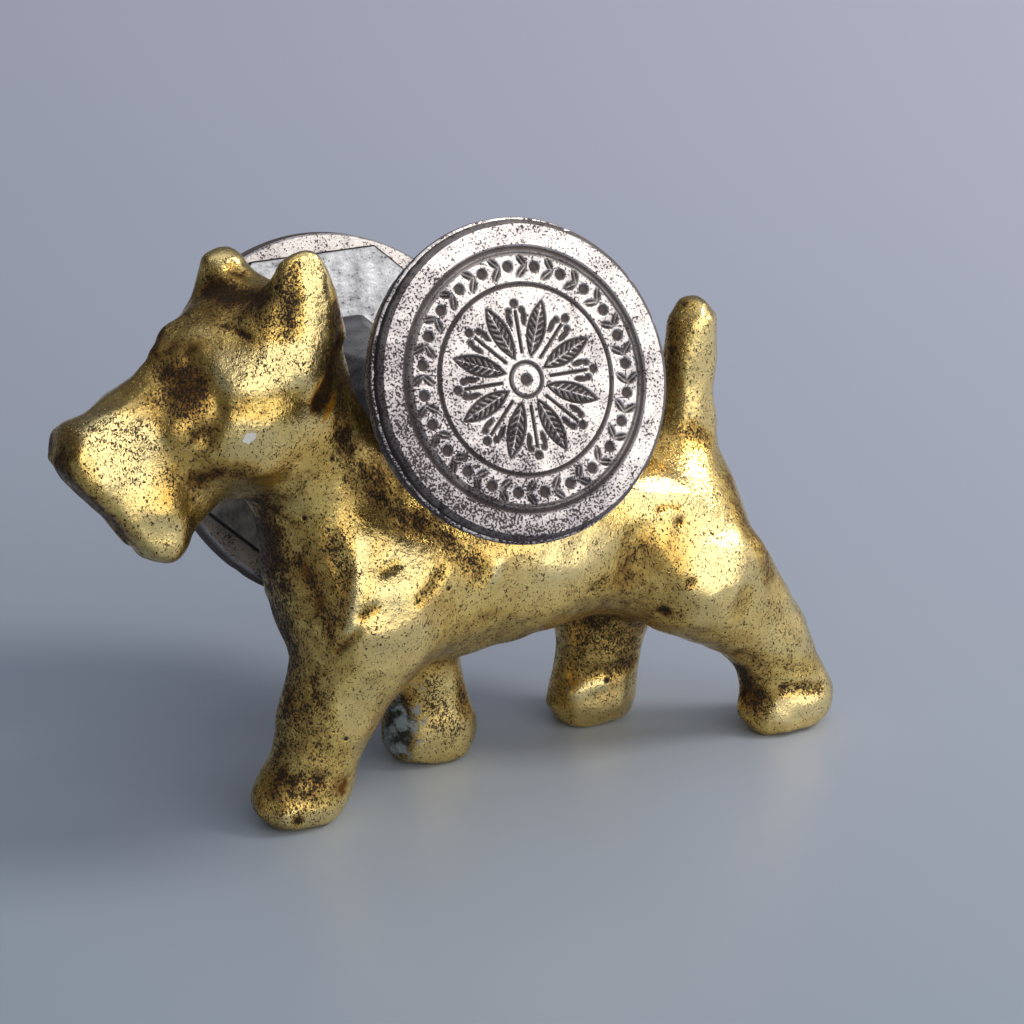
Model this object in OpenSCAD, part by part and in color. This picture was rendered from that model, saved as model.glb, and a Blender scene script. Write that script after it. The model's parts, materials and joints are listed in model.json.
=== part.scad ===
// Desk seal on a terrier rest: a cast brass dog stands on its four paws and
// carries a double-ended steel hand seal across its back, behind the neck.
// Millimetres. The nose points to -X, +Z is up, and the origin lies on the
// ground under the middle of the whole part.

/* [Terrier body] */
// Height of the back where the seal lies
back_height = 33.6; // [32:0.2:36]
// Distance from the shoulders to the hips
body_length = 32; // [30:0.5:36]
// Radius of the ribcage
chest_radius = 10.4; // [9.6:0.2:11]
// Radius of the loin
loin_radius = 9.2; // [8:0.2:10]
// Radius of the upper neck
neck_radius = 6.7; // [6:0.1:7.2]
// Height of the tail tip
tail_height = 46.5; // [40:0.5:50]

/* [Terrier head] */
// Height of the middle of the skull
head_height = 46; // [44:0.5:48]
// Radius of the skull
skull_radius = 7.5; // [6.6:0.1:8]
// Distance from the middle of the skull to the nose
muzzle_length = 20.2; // [18:0.2:22]
// Drop of the beard below the middle of the skull
beard_drop = 17; // [14:0.5:18]
// Height of the ear tips above the middle of the skull
ear_height = 11.8; // [10:0.2:13]
// Radius of the eye hollows
eye_radius = 2.4; // [1.8:0.1:2.8]

/* [Terrier legs] */
// Half the distance between the fore paws, across the body
fore_stance = 4; // [3.6:0.1:5]
// Half the distance between the hind paws, across the body
hind_stance = 5.2; // [4.6:0.1:6]
// Distance between the fore paws, along the walk
fore_stride = 17.8; // [14:0.2:20]
// Distance between the hind paws, along the walk
hind_stride = 17.6; // [14:0.2:19]
// Height of the elbows and hocks
knee_height = 11; // [9:0.5:13]
// Radius of a paw
paw_radius = 3.7; // [3.2:0.1:4.2]

/* [Casting] */
// Blend radius where the limbs run together
blend = 1.2; // [0.8:0.1:1.6]
// Size of one cell of the modelled skin
skin_cell = 1.6; // [1.5:0.1:2.4]
// One mark of the modeller's rule, in which the lesser offsets of the figure are given
mark = 1; // [0.9:0.05:1.1]

/* [Seal] */
// Length of the seal over both die faces
seal_length = 47; // [44:0.5:52]
// Diameter of the small die
small_die_diameter = 30; // [27:0.5:32]
// Diameter of the large die
large_die_diameter = 38.2; // [34:0.2:39]
// Thickness of a die
die_thickness = 3.3; // [3:0.1:4.5]
// Bevel round the edges of a die
die_bevel = 0.5; // [0.2:0.1:0.8]
// Depth of the groove round the rim of a die
rim_groove = 0.5; // [0.2:0.1:0.7]
// Thickness of the octagonal backing plates
plate_thickness = 0.8; // [0.5:0.1:1.5]
// Rim of the die left outside the corners of its backing plate
plate_margin = 1; // [0.6:0.1:3]
// Width of the grip over its flats, at the waist
grip_waist = 8.4; // [6:0.2:9]
// Width of the grip over its flats, at the large die
grip_large_end = 20; // [14:0.5:22]
// Width of the grip over its flats, at the small die
grip_small_end = 15.5; // [12:0.5:18]

/* [Engraving] */
// Depth of the engraved marks
engraving_depth = 0.5; // [0.2:0.05:0.7]
// Width of an engraved ring
ring_width = 0.6; // [0.4:0.1:1]
// Number of round marks between the rings
pellet_count = 24; // [12:2:30]
// Number of petals in the middle
petal_count = 8; // [5:1:10]

/* [Fixing studs] */
// Diameter of a stud
stud_diameter = 5; // [3:0.5:6]
// Room round a stud, each side
stud_clearance = 0.1; // [0.05:0.05:0.2]
// Length of stud inside the grip
stud_in_grip = 8; // [5:0.5:12]
// Length of stud inside a die
stud_in_die = 1.8; // [1:0.1:2]

/* [Rest] */
// Rise of the seal towards its small die, in degrees
seal_tilt = 20.6; // [14:0.2:24]
// Turn of the seal from square across the back, in degrees
seal_turn = 1; // [-2:0.5:3]
// Shift of the seal along its length, towards the large die
seal_shift = 0.8; // [-1:0.1:2]
// Gap between the back and the grip
rest_gap = 0.9; // [0.8:0.1:1.5]

/* [Hidden] */
round_facets = 120;
octagon_turn = 180 / 8;
grip_steps = 12;
cut_over = 0.1;

// Anchor points of the skeleton
shoulder_x = -9;
fore_x = -9;
hind_x = 28;
skull_x = -20;
tail_x = 27;
tail_tip_radius = 2.6;
waist_reach = 15;
grid_margin = 4;
grid_half_width = 15;
chest = [shoulder_x, 0, back_height - chest_radius];
waist = [shoulder_x + waist_reach, 0, back_height - 0.4 * mark - loin_radius];
hip = [shoulder_x + body_length, 0, back_height - 1.1 * mark - loin_radius];
skull = [skull_x, 0, head_height];
nose = skull + [-muzzle_length, 0, -6.5 * mark];
beard = skull + [-11 * mark, 0, 3 * mark - beard_drop];
left_ear = skull + [2 * mark, -6 * mark, ear_height - 1.6 * mark];
right_ear = skull + [-1.6 * mark, 5 * mark, ear_height - 3.4 * mark];

// A limb is [start, end, start radius, end radius].
trunk_limbs = [
    [chest, waist, chest_radius, loin_radius],
    [waist, hip, loin_radius, loin_radius - 0.5 * mark],
    [chest + mark * [-3.6, 0, 6.5], skull + mark * [2.2, 0, -5], neck_radius + 0.6 * mark, neck_radius],
    [hip + mark * [2.8, 0, 6], [tail_x, 0, tail_height - tail_tip_radius], 3.4 * mark, tail_tip_radius]
];
head_limbs = concat(
    [
        [skull, skull + mark * [-3, 0, -1], skull_radius, skull_radius - 0.7 * mark],
        [skull + mark * [-4, 0, 0.2], nose + mark * [2.6, 0, 0.6], 4.2 * mark, 1.8 * mark],
        [skull + mark * [-6, 0, -8], beard + mark * [0.5, 0, 1], 4.4 * mark, 3.2 * mark]
    ],
    [for (y = [-1.8, 1.8])
        [skull + mark * [-6, y, -4.5], nose + mark * [3.2, y, 0.1], 4 * mark, 2.8 * mark]],
    [for (y = [-2.2, 2.2])
        [nose + mark * [3.6, y, -1.5], beard + mark * [-0.8, y, -0.4], 2.9 * mark, 2.6 * mark]],
    [for (y = [-3.2, 3.2])
        [skull + mark * [-1, y, -3.5], skull + mark * [-3, y, -5], 5 * mark, 5 * mark]]
);
ear_limbs = [
    [left_ear, skull + mark * [3.5, -4.8, 4], 1.5 * mark, 2.2 * mark],
    [left_ear, skull + mark * [-0.8, -5, 6], 1.5 * mark, 1.8 * mark],
    [right_ear, skull + mark * [-0.2, 5, 4.5], 1.3 * mark, 1.7 * mark],
    [right_ear, skull + mark * [-2.8, 5, 4.5], 1.3 * mark, 1.7 * mark]
];

// Upper leg, lower leg and paw of one leg
function leg(top, knee, paw, top_radius, knee_radius) = [
    [top, knee, top_radius, knee_radius],
    [knee, paw + mark * [0, 0, 3.6], knee_radius, paw_radius - 0.2 * mark],
    [paw + mark * [0, 0, 3], paw + mark * [-2.6, 0, 2.6], paw_radius, paw_radius - 0.5 * mark]
];
left_fore_paw = [fore_x - fore_stride / 2, -fore_stance, 0];
right_fore_paw = [fore_x + fore_stride / 2, fore_stance, 0];
left_hind_paw = [hind_x + hind_stride / 2, -hind_stance, 0];
right_hind_paw = [hind_x - hind_stride / 2, hind_stance, 0];
knee_rise = [0, 0, knee_height];
leg_limbs = concat(
    leg(chest + mark * [-2.5, -5, -3.8], left_fore_paw + mark * [2.5, 0, 0] + knee_rise,
        left_fore_paw, 6.3 * mark, 4.2 * mark),
    leg(chest + mark * [0, 5, -4.8], right_fore_paw + mark * [-2, 0.4, -1] + knee_rise,
        right_fore_paw, 5.4 * mark, 3.8 * mark),
    leg(hip + mark * [2, -5, -4.8], left_hind_paw + mark * [-3.8, 0, 0] + knee_rise,
        left_hind_paw, 7 * mark, 3.8 * mark),
    leg(hip + mark * [-1, 5, -4.3], right_hind_paw + mark * [0.3, 0, 0] + knee_rise,
        right_hind_paw, 6.5 * mark, 4.2 * mark)
);
limbs = concat(trunk_limbs, head_limbs, ear_limbs, leg_limbs);

// Hollows pressed into the blended limbs: [middle, radius]
hollows = [for (y = [-5.3, 5.3]) [skull + mark * [-10.2, y, 1.6], eye_radius]];

// Seal: radii, stations along its axis and its place on the back
small_die_radius = small_die_diameter / 2;
large_die_radius = large_die_diameter / 2;
die_back = seal_length / 2 - die_thickness;
grip_half = die_back - plate_thickness;
stud_hole = stud_diameter + 2 * stud_clearance;
seal_x = shoulder_x + neck_radius - 0.8 * mark;
seal_z = chest[2] + (chest_radius + grip_waist / 2 + rest_gap) / cos(seal_tilt);
seal_middle = [seal_x, seal_shift * cos(seal_tilt), seal_z - seal_shift * sin(seal_tilt)];

// Sizes of the engraved marks, as shares of the die's radius
outer_ring = 0.8;
inner_ring = 0.58;
pellet_size = 0.04;
petal_place = 0.32;
petal_length = 0.36;
petal_width = 0.12;

// Shift that brings the middle of the whole part over the origin
part_shift = [0, -seal_middle[1] - (large_die_radius - small_die_radius) / 2 * sin(seal_tilt), 0];

function limb_distance(p, l) =
    let (run = l[1] - l[0], from = p - l[0])
    let (t = max(0, min(1, (from * run) / (run * run))))
    norm(from - t * run) - (l[2] + t * (l[3] - l[2]));

function total(list) = [for (item = list) 1] * list;

// Distance from the skin: limbs blended, hollows pressed in, soles cut flat
function skin_distance(p, near) =
    let (soft = total([for (l = near) exp(-limb_distance(p, l) / blend)]))
    max(concat([-p[2], -blend * ln(soft)], [for (h = hollows) h[1] - norm(p - h[0])]));

// Grid of points on which the skin is measured
grid_low = [nose[0] - grid_margin, -grid_half_width, -1.5 * skin_cell];
grid_high = [
    left_hind_paw[0] + 2 * grid_margin,
    grid_half_width,
    max(head_height + ear_height, tail_height) + grid_margin
];
counts = [for (a = [0:2]) ceil((grid_high[a] - grid_low[a]) / skin_cell) + 2];
step_x = counts[1] * counts[2];
step_y = counts[2];
step_z = 1;
block = 4;
block_middle = [1, 1, 1] * (block - 1) / 2;
block_reach = block * skin_cell;

function grid_point(c) =
    grid_low + skin_cell * [floor(c / step_x), floor(c / step_y) % counts[1], c % step_y];

// Limbs that matter inside one block of grid points, none far from the skin
function near_limbs(middle) =
    let (gaps = [for (l = limbs) limb_distance(middle, l)])
    let (closest = min(gaps))
    closest > block_reach + 3 * blend ? [] :
    [for (i = [0:len(limbs) - 1]) if (gaps[i] < closest + 2 * block_reach + 3 * blend) limbs[i]];

// True at an empty grid point where two sheets of skin would meet along one line
function pinched(c, raw, full) =
    full[c] == 0 && raw[c] < skin_cell
    && len([for (s = [[step_x, step_y], [step_y, step_z], [step_x, step_z]])
        for (a = [-1, 1]) for (b = [-1, 1])
        let (one = c + a * s[0], two = c + b * s[1], far = one + two - c)
        if (full[one] == 1 && full[two] == 1 && full[far] == 0 && raw[c] <= raw[far]) far]) > 0;

// The brass dog: one closed skin through the zero level of skin_distance, with
// one point in each grid cell that the skin crosses
module terrier() {
    near = [for (i = [0:block:counts[0] - 1]) [for (j = [0:block:counts[1] - 1])
        [for (m = [0:block:counts[2] - 1])
            near_limbs(grid_low + skin_cell * ([i, j, m] + block_middle))]]];
    raw = [for (i = [0:counts[0] - 1]) for (j = [0:counts[1] - 1]) for (m = [0:counts[2] - 1])
        let (group = near[floor(i / block)][floor(j / block)][floor(m / block)])
        len(group) == 0 ? skin_cell : skin_distance(grid_low + skin_cell * [i, j, m], group)];
    raw_filled = [for (v = raw) v < 0 ? 1 : 0];
    values = [for (c = [0:len(raw) - 1]) pinched(c, raw, raw_filled) ? -0.1 * skin_cell : raw[c]];
    filled = [for (v = values) v < 0 ? 1 : 0];
    corners = [for (x = [0, step_x]) for (y = [0, step_y]) for (z = [0, step_z]) x + y + z];
    edges = [for (a = [0:7]) for (bit = [1, 2, 4]) if (floor(a / bit) % 2 == 0)
        [corners[a], corners[a + bit]]];
    last = len(values) - corners[7] - 1;
    crossed = [for (c = [0:last]) let (n = total([for (k = corners) filled[c + k]])) n > 0 && n < 8];
    number = [for (c = 0, n = 0; c <= last; n = n + (crossed[c] ? 1 : 0), c = c + 1) n];
    cell_points = [for (c = [0:last]) if (crossed[c])
        let (cuts = [for (e = edges) let (a = c + e[0], b = c + e[1]) if (filled[a] != filled[b])
            let (t = values[a] / (values[a] - values[b])) grid_point(a) * (1 - t) + grid_point(b) * t])
        total(cuts) / len(cuts)];
    points = [for (p = cell_points) [p[0], p[1], p[2] < skin_cell / 4 ? 0 : p[2]]];
    quads = [for (c = [step_x + step_y + 1:last])
        for (s = [[step_x, step_y, step_z], [step_y, step_z, step_x], [step_z, step_x, step_y]])
        if (filled[c] != filled[c + s[0]])
            let (q = [c, c - s[1], c - s[1] - s[2], c - s[2]])
            filled[c] == 1 ? [q[0], q[3], q[2], q[1]] : q];
    faces = [for (q = quads) for (t = [[0, 1, 2], [0, 2, 3]]) [for (k = t) number[q[k]]]];
    color([0.72, 0.53, 0.2]) translate(part_shift) polyhedron(points, faces);
}

// Puts a piece drawn along +Z, from the middle of the seal, in its place on the back
module on_seal(side) {
    translate(part_shift + seal_middle) rotate([90 - seal_tilt, 0, seal_turn])
        rotate([0, side == "small" ? 0 : 180, 0]) children();
}

// Half width of the grip over its flats, at a height along the seal
function grip_half_width(z) =
    let (end_width = z > 0 ? grip_small_end : grip_large_end)
    (grip_waist + (end_width - grip_waist) * pow(z / grip_half, 2)) / 2;

module stud_bore() {
    translate([0, 0, grip_half - stud_in_grip])
        cylinder(d = stud_hole, h = stud_in_grip + plate_thickness + stud_in_die, $fn = round_facets);
}

// Octagonal waisted stem that the fingers hold
module grip() {
    stations = [for (i = [-1:1 / grip_steps:1]) i * grip_half];
    side = [for (z = stations) [grip_half_width(z) / cos(octagon_turn), z]];
    color([0.45, 0.46, 0.48]) difference() {
        on_seal("small") rotate(octagon_turn) rotate_extrude($fn = 8)
            polygon(concat([[0, -grip_half]], side, [[0, grip_half]]));
        on_seal("small") stud_bore();
        on_seal("large") stud_bore();
    }
}

// Octagonal plate between the grip and a die
module backing_plate(die_radius) {
    difference() {
        translate([0, 0, grip_half]) linear_extrude(plate_thickness)
            rotate(octagon_turn) circle(die_radius - plate_margin, $fn = 8);
        stud_bore();
    }
}

module small_plate() {
    color([0.62, 0.63, 0.66]) on_seal("small") backing_plate(small_die_radius);
}

module large_plate() {
    color([0.62, 0.63, 0.66]) on_seal("large") backing_plate(large_die_radius);
}

module ring_mark(radius) {
    rotate_extrude($fn = round_facets) translate([radius, 0])
        polygon([[-ring_width / 2, cut_over], [-ring_width / 2, 0], [0, -engraving_depth],
            [ring_width / 2, 0], [ring_width / 2, cut_over]]);
}

module petal_mark(length, width) {
    arc_radius = (length * length + width * width) / (4 * width);
    translate([0, 0, -engraving_depth]) linear_extrude(engraving_depth + cut_over)
        intersection_for (side = [-1, 1])
            translate([0, side * (arc_radius - width / 2)]) circle(arc_radius, $fn = round_facets);
}

// Round design cut into a die face: two rings, round marks between them and a rosette
module engraving(die_radius) {
    outer = outer_ring * die_radius;
    inner = inner_ring * die_radius;
    pellet = pellet_size * die_radius;
    for (radius = [outer, inner]) ring_mark(radius);
    for (i = [0:pellet_count - 1]) rotate(i * 360 / pellet_count)
        translate([(outer + inner) / 2, 0, 0]) sphere(pellet, $fn = 32);
    for (i = [0:petal_count - 1]) rotate((i + 0.5) * 360 / petal_count)
        translate([petal_place * die_radius, 0, 0])
            petal_mark(petal_length * die_radius, petal_width * die_radius);
    sphere(2 * pellet, $fn = 48);
}

// Round die with bevelled edges, a groove round its rim and an engraved face
module die(radius) {
    half = die_thickness / 2;
    difference() {
        translate([0, 0, die_back]) rotate_extrude($fn = round_facets) polygon([
            [0, 0], [radius - die_bevel, 0], [radius, die_bevel],
            [radius, half - rim_groove], [radius - rim_groove, half], [radius, half + rim_groove],
            [radius, die_thickness - die_bevel], [radius - die_bevel, die_thickness], [0, die_thickness]
        ]);
        translate([0, 0, die_back + die_thickness]) engraving(radius);
        stud_bore();
    }
}

module small_die() {
    color("silver") on_seal("small") die(small_die_radius);
}

module large_die() {
    color("silver") on_seal("large") die(large_die_radius);
}

// Plain stud that ties a die and its plate to the grip
module stud() {
    translate([0, 0, grip_half - stud_in_grip])
        cylinder(d = stud_diameter, h = stud_in_grip + plate_thickness + stud_in_die, $fn = round_facets);
}

module small_stud() {
    color("gray") on_seal("small") stud();
}

module large_stud() {
    color("gray") on_seal("large") stud();
}

terrier();
grip();
small_plate();
large_plate();
small_die();
large_die();
small_stud();
large_stud();
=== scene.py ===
"""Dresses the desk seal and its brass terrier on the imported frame.

Sizes are in millimetres and Blender works in metres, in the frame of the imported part: the terrier's
nose points to -X, the small die of the seal to -Y, and +Z is up.
"""

import json
import logging
import math
from collections.abc import Callable
from dataclasses import dataclass
from enum import Enum
from functools import partial

import bpy
import numpy as np
from mathutils import Matrix, Vector
from mathutils.bvhtree import BVHTree

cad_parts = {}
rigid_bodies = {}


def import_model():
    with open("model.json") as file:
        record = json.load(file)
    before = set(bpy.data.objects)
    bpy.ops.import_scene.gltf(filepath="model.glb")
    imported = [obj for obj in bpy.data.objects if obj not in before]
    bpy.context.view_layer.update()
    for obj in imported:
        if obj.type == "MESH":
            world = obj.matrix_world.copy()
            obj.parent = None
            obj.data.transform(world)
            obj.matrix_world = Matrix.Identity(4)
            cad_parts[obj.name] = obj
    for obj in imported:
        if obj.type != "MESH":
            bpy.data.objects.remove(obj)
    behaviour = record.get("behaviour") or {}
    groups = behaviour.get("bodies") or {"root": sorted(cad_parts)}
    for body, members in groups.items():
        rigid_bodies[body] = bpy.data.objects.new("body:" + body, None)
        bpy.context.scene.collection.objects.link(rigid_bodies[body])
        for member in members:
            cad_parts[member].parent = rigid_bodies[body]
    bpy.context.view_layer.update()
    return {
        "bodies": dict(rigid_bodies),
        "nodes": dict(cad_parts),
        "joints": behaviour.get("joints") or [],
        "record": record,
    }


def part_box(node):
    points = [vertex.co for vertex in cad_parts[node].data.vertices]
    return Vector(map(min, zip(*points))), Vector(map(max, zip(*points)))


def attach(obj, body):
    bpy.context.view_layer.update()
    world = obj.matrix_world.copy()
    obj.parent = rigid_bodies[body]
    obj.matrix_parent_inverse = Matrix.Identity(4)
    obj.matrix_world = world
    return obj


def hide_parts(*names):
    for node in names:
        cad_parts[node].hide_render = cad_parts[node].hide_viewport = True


MM = 0.001  # a millimetre in metres
WELD = 0.002 * MM  # vertices nearer to each other than this become one
SIDES = 8  # sides of the plates and the grip
LOG = logging.getLogger("desk_seal")
Point = tuple[float, float, float]
Range = tuple[float, float]
AddNode = Callable[..., bpy.types.Node]
Wire = bpy.types.Node | bpy.types.NodeSocket


class Body(Enum):
    """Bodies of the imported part."""

    TERRIER = "terrier"
    SEAL = "seal"


class Slot(Enum):
    """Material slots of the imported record."""

    BRASS = "cast_brass"
    DIE = "die_steel"
    PLATE = "plate_steel"
    GRIP = "grip_steel"


class End(Enum):
    """The two ends of the seal, with the sign of their direction along its axis."""

    SMALL = 1
    LARGE = -1


def linear(colour: str) -> tuple[float, float, float, float]:
    """Turns an sRGB colour into linear values.

    Args:
        colour: the colour as #RRGGBB.

    Returns:
        Linear red, green, blue and an alpha of one.
    """
    parts = [int(colour[i:i + 2], 16) / 255 for i in (1, 3, 5)]
    red, green, blue = (c / 12.92 if c <= 0.04045 else ((c + 0.055) / 1.055) ** 2.4 for c in parts)
    return red, green, blue, 1.0


def add_node(tree: bpy.types.NodeTree, kind: str, *inputs, **settings) -> bpy.types.Node:
    """Adds one shader node with its settings and links.

    Args:
        tree: the node tree that gets the node.
        kind: Blender's name of the node type, without its first words.
        inputs: values, nodes or output sockets for the inputs in use, in their order.
        settings: properties of the node, and more inputs by name, which start with a capital.

    Returns:
        The new node. As an input it stands for its first output in use.
    """
    node = tree.nodes.new(f"ShaderNode{kind}")
    for name, value in settings.items():
        if name.islower():
            setattr(node, name, value)
    pairs = list(zip([socket for socket in node.inputs if socket.enabled], inputs))
    pairs += [(node.inputs[name], value) for name, value in settings.items() if not name.islower()]
    for socket, value in pairs:
        if isinstance(value, bpy.types.Node):
            value = next(output for output in value.outputs if output.enabled)
        if isinstance(value, bpy.types.NodeSocket):
            tree.links.new(value, socket)
        else:
            socket.default_value = value
    return node


def new_material(name: str) -> tuple[bpy.types.Material, AddNode, Wire]:
    """Starts an empty node material.

    Args:
        name: the name of the real material.

    Returns:
        The material, the function that adds its nodes, and the Object coordinates in millimetres.
    """
    material = bpy.data.materials.new(name)
    material.use_nodes = True
    material.node_tree.nodes.clear()
    add = partial(add_node, material.node_tree)
    place = add("VectorMath", add("TexCoord").outputs["Object"], 1 / MM, operation="SCALE")
    return material, add, place


def close_surface(add: AddNode, colour: Wire, metallic: Wire, rough: Wire, relief: Wire) -> None:
    """Ends the nodes of a metal.

    Args:
        add: adds a node to the material.
        colour: its colour.
        metallic: how much bare metal shows.
        rough: its roughness.
        relief: the height of its surface, in millimetres.
    """
    bump = add("Bump", Height=relief, Distance=MM, Strength=1.0)
    add("OutputMaterial", add("BsdfPrincipled", colour, metallic, rough, Normal=bump))


@dataclass(frozen=True)
class Mark:
    """One stain or chip on a surface: an ellipsoid that colours what lies inside it."""

    place: Point  # its middle, in millimetres
    radii: Point  # its half axes, in millimetres
    colour: str  # its colour
    ragged: float  # how far noise breaks its outline
    soft: float  # share of its radius over which it fades out
    metallic: float = 1.0  # how much bare metal it shows on brass
    turn: Point = (0, 0, 0)  # its turn about X, Y and Z, in degrees

    def over(self, add: AddNode, place: Wire, noise: Wire, colour: Wire) -> tuple[Wire, Wire]:
        """Lays the mark over a surface.

        Args:
            add: adds a node to the material.
            place: the coordinates, in millimetres.
            noise: the noise that breaks the outline.
            colour: the colour of the surface.

        Returns:
            The colour with the mark on it, and how far each place lies inside the mark.
        """
        turn = tuple(math.radians(angle) for angle in self.turn)
        local = add("Mapping", place, self.place, turn, self.radii, vector_type="TEXTURE")
        away = add("VectorMath", local, operation="LENGTH")
        torn = add("Math", noise, 2 * self.ragged, away, operation="MULTIPLY_ADD")
        inside = add("MapRange", torn, 1.0 - self.soft + self.ragged, 1.0 + self.ragged, 1.0, 0.0)
        return add("Mix", inside, colour, linear(self.colour), data_type="RGBA"), inside


@dataclass(frozen=True)
class CastBrass:
    """Cast brass, rubbed bright on its high places, with brown patina and black pits left in the low ones.

    The rubbed metal gives sharp yellow lights, the patina a dull olive brown, and the pits a peppered black.
    The palest rubbed colour is partly a painted highlight, and the painted patina also holds painted shade.
    """

    polish_and_highlight: str = "#F8E1A0"  # colour of the brass that is rubbed most, partly a painted highlight
    bright: str = "#F5D680"  # colour of rubbed brass
    warm: str = "#D9B25F"  # colour of brass that is handled less
    honey: str = "#946C35"  # colour of a thin brown skin
    patina: str = "#3A2914"  # colour of the thick skin in the hollows
    soot: str = "#1C130A"  # colour of the dirt in the pits
    warm_at: Range = (0.62, 0.98)  # tone at which the less handled colour starts, and covers
    polish_and_highlight_at: Range = (0.05, -0.3)  # painted patina at which the most rubbed colour, with its painted highlight, starts, and covers
    honey_at: Range = (0.0, 0.8)  # patina at which the thin skin starts, and covers
    patina_at: Range = (0.5, 1.3)  # patina at which the thick skin starts, and covers
    dent_tone: float = 0.6  # how much the dents change the tone
    tone_mm: float = 6.0  # size of the broad patches of colour
    mottle_mm: float = 1.3  # size of the stains inside them
    dent_mm: float = 0.9  # size of the small dents of the cast skin
    speck_mm: float = 0.22  # size of the black specks, a little coarser than the real ones so that they show
    pit_mm: float = 2.6  # distance between the larger casting pits
    broken: float = 0.34  # how much the stains add to the painted patina or take from it
    broken_at: Range = (0.3, 0.7)  # noise at which they take most, and add most
    speck_slant: float = 40.0  # slant of the dashes that the specks are drawn out into, in degrees
    speck_stretch: Point = (1.15, 1.0, 0.8)  # scale of their noise along X, Y and Z
    speck_paint: float = 0.18  # how much the painted pits help the specks
    speck_clumps: float = 0.3  # how much the stains help the specks
    speck_onset: Range = (0.765, 0.825)  # noise at which specks start, and at which they are black
    speck_black: float = 0.94  # how black they are
    pitless: float = 0.62  # share of the cells that have no casting pit
    pit_radius: float = 0.17  # radius of the largest casting pit, as a share of its cell
    pit_wall: float = 0.08  # width of its wall, as a share of its cell
    rough: Range = (0.2, 0.44)  # roughness of the rubbed and of the patinated metal
    dirt_rough: float = 0.35  # roughness that dirt adds
    dirt_metallic: float = 0.35  # how much metal shows through the dirt
    grain_height: float = 0.085  # height of the stains, in millimetres
    dent_height: float = 0.06  # height between the dents, in millimetres
    peel_height: Range = (0.03, 0.08)  # height between the specks, on smooth skin and on pitted skin
    speck_depth: float = 0.04  # depth of the specks
    pit_depth: float = 0.12  # depth of the casting pits
    marks: tuple[Mark, ...] = (  # stains and chips
        Mark((-24.5, -9.7, 41.6), (0.72, 0.6, 0.62), "#F0EEE6", 1.5, 0.1, 0.0),
        Mark((-16.1, -8.7, 43.0), (0.5, 1.0, 2.0), "#D8962E", 0.4, 0.4, 0.9, (0, 38, 0)),
        Mark((-5.7, 0.6, 4.2), (2.9, 2.9, 4.8), "#343633", 0.4, 0.5, 0.6),
        Mark((-6.0, 0.5, 4.2), (2.6, 2.5, 4.4), "#98A4A8", 3.4, 0.9, 0.4),
        Mark((-15.8, -9.2, 4.6), (1.2, 1.2, 1.7), "#7C4E1E", 1.6, 0.8, 0.9, (0, 20, 0)),
        Mark((-18.2, -7.0, 26.4), (0.45, 0.9, 2.0), "#7E5526", 1.6, 1.0, 0.9, (0, -14, 0)),
        Mark((-17.4, -8.4, 23.4), (0.4, 0.8, 1.7), "#7A5026", 1.6, 1.0, 0.9, (0, 16, 0)),
    )

    def material(self) -> bpy.types.Material:
        """Builds the node material.

        Returns:
            The material, which reads the patina and pits painted on the terrier.
        """
        material, add, place = new_material("cast brass, rubbed and patinated")
        patina_shade_and_highlight_paint = add("Attribute", attribute_name="patina").outputs["Fac"]
        pit_paint = add("Attribute", attribute_name="pits").outputs["Fac"]
        tone = add("TexNoise", place, Scale=1 / self.tone_mm, Detail=3.0)
        mottle = add("TexNoise", place, Scale=1 / self.mottle_mm, Detail=5.0, Roughness=0.62)
        dents = add("TexNoise", place, Scale=1 / self.dent_mm, Detail=2.0, Roughness=0.5, Distortion=0.4)
        # Specks are short dashes, so their noise is drawn out along one slanting line
        slant = (0.0, math.radians(self.speck_slant), 0.0)
        drawn = add("Mapping", place, Rotation=slant, Scale=self.speck_stretch)
        speck = add("TexNoise", drawn, Scale=1 / self.speck_mm, Detail=2.0, Roughness=0.45, Distortion=1.0)
        cells = add("TexVoronoi", place, Scale=1 / self.pit_mm)
        # Patina: painted amount, which also holds painted shade, broken by the stains
        stain = add("MapRange", mottle, *self.broken_at, -self.broken, self.broken)
        patina = add("Math", patina_shade_and_highlight_paint, stain, use_clamp=True)
        # Specks: the denser the paint, the lower the noise that shows black
        density = add("Math", pit_paint, self.speck_paint, speck, operation="MULTIPLY_ADD")
        clumps = add("Math", mottle, self.speck_clumps, density, operation="MULTIPLY_ADD")
        black = add("MapRange", clumps, *self.speck_onset, 0.0, self.speck_black)
        # Casting pits: one in some of the cells, with a steep wall
        chance = add("SeparateColor", cells.outputs["Color"])
        chosen = add("MapRange", chance, self.pitless, 1.0, 0.0, self.pit_radius)
        depth = add("Math", chosen, cells, operation="SUBTRACT")
        pit = add("MapRange", depth, 0.0, self.pit_wall)
        dirt = add("Math", black, pit, operation="MAXIMUM")
        # Colours, from the metal up to the dirt
        patches = add("Math", dents, self.dent_tone, tone, operation="MULTIPLY_ADD")
        layers = (
            (add("MapRange", patches, *self.warm_at), self.warm),
            # Most rubbed colour, partly a painted highlight, where the painted patina is lowest
            (add("MapRange", patina_shade_and_highlight_paint, *self.polish_and_highlight_at), self.polish_and_highlight),
            (add("MapRange", patina, *self.honey_at), self.honey),
            (add("MapRange", patina, *self.patina_at), self.patina),
            (dirt, self.soot),
        )
        colour = linear(self.bright)
        for share, layer in layers:
            colour = add("Mix", share, colour, linear(layer), data_type="RGBA")
        bare = add("MapRange", dirt, 0.0, 1.0, 1.0, self.dirt_metallic)
        for mark in self.marks:
            colour, inside = mark.over(add, place, mottle, colour)
            bare = add("Mix", inside, bare, mark.metallic, data_type="FLOAT")
        dull = add("MapRange", patina, 0.0, 1.0, *self.rough)
        rough = add("Math", dirt, self.dirt_rough, dull, operation="MULTIPLY_ADD")
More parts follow.
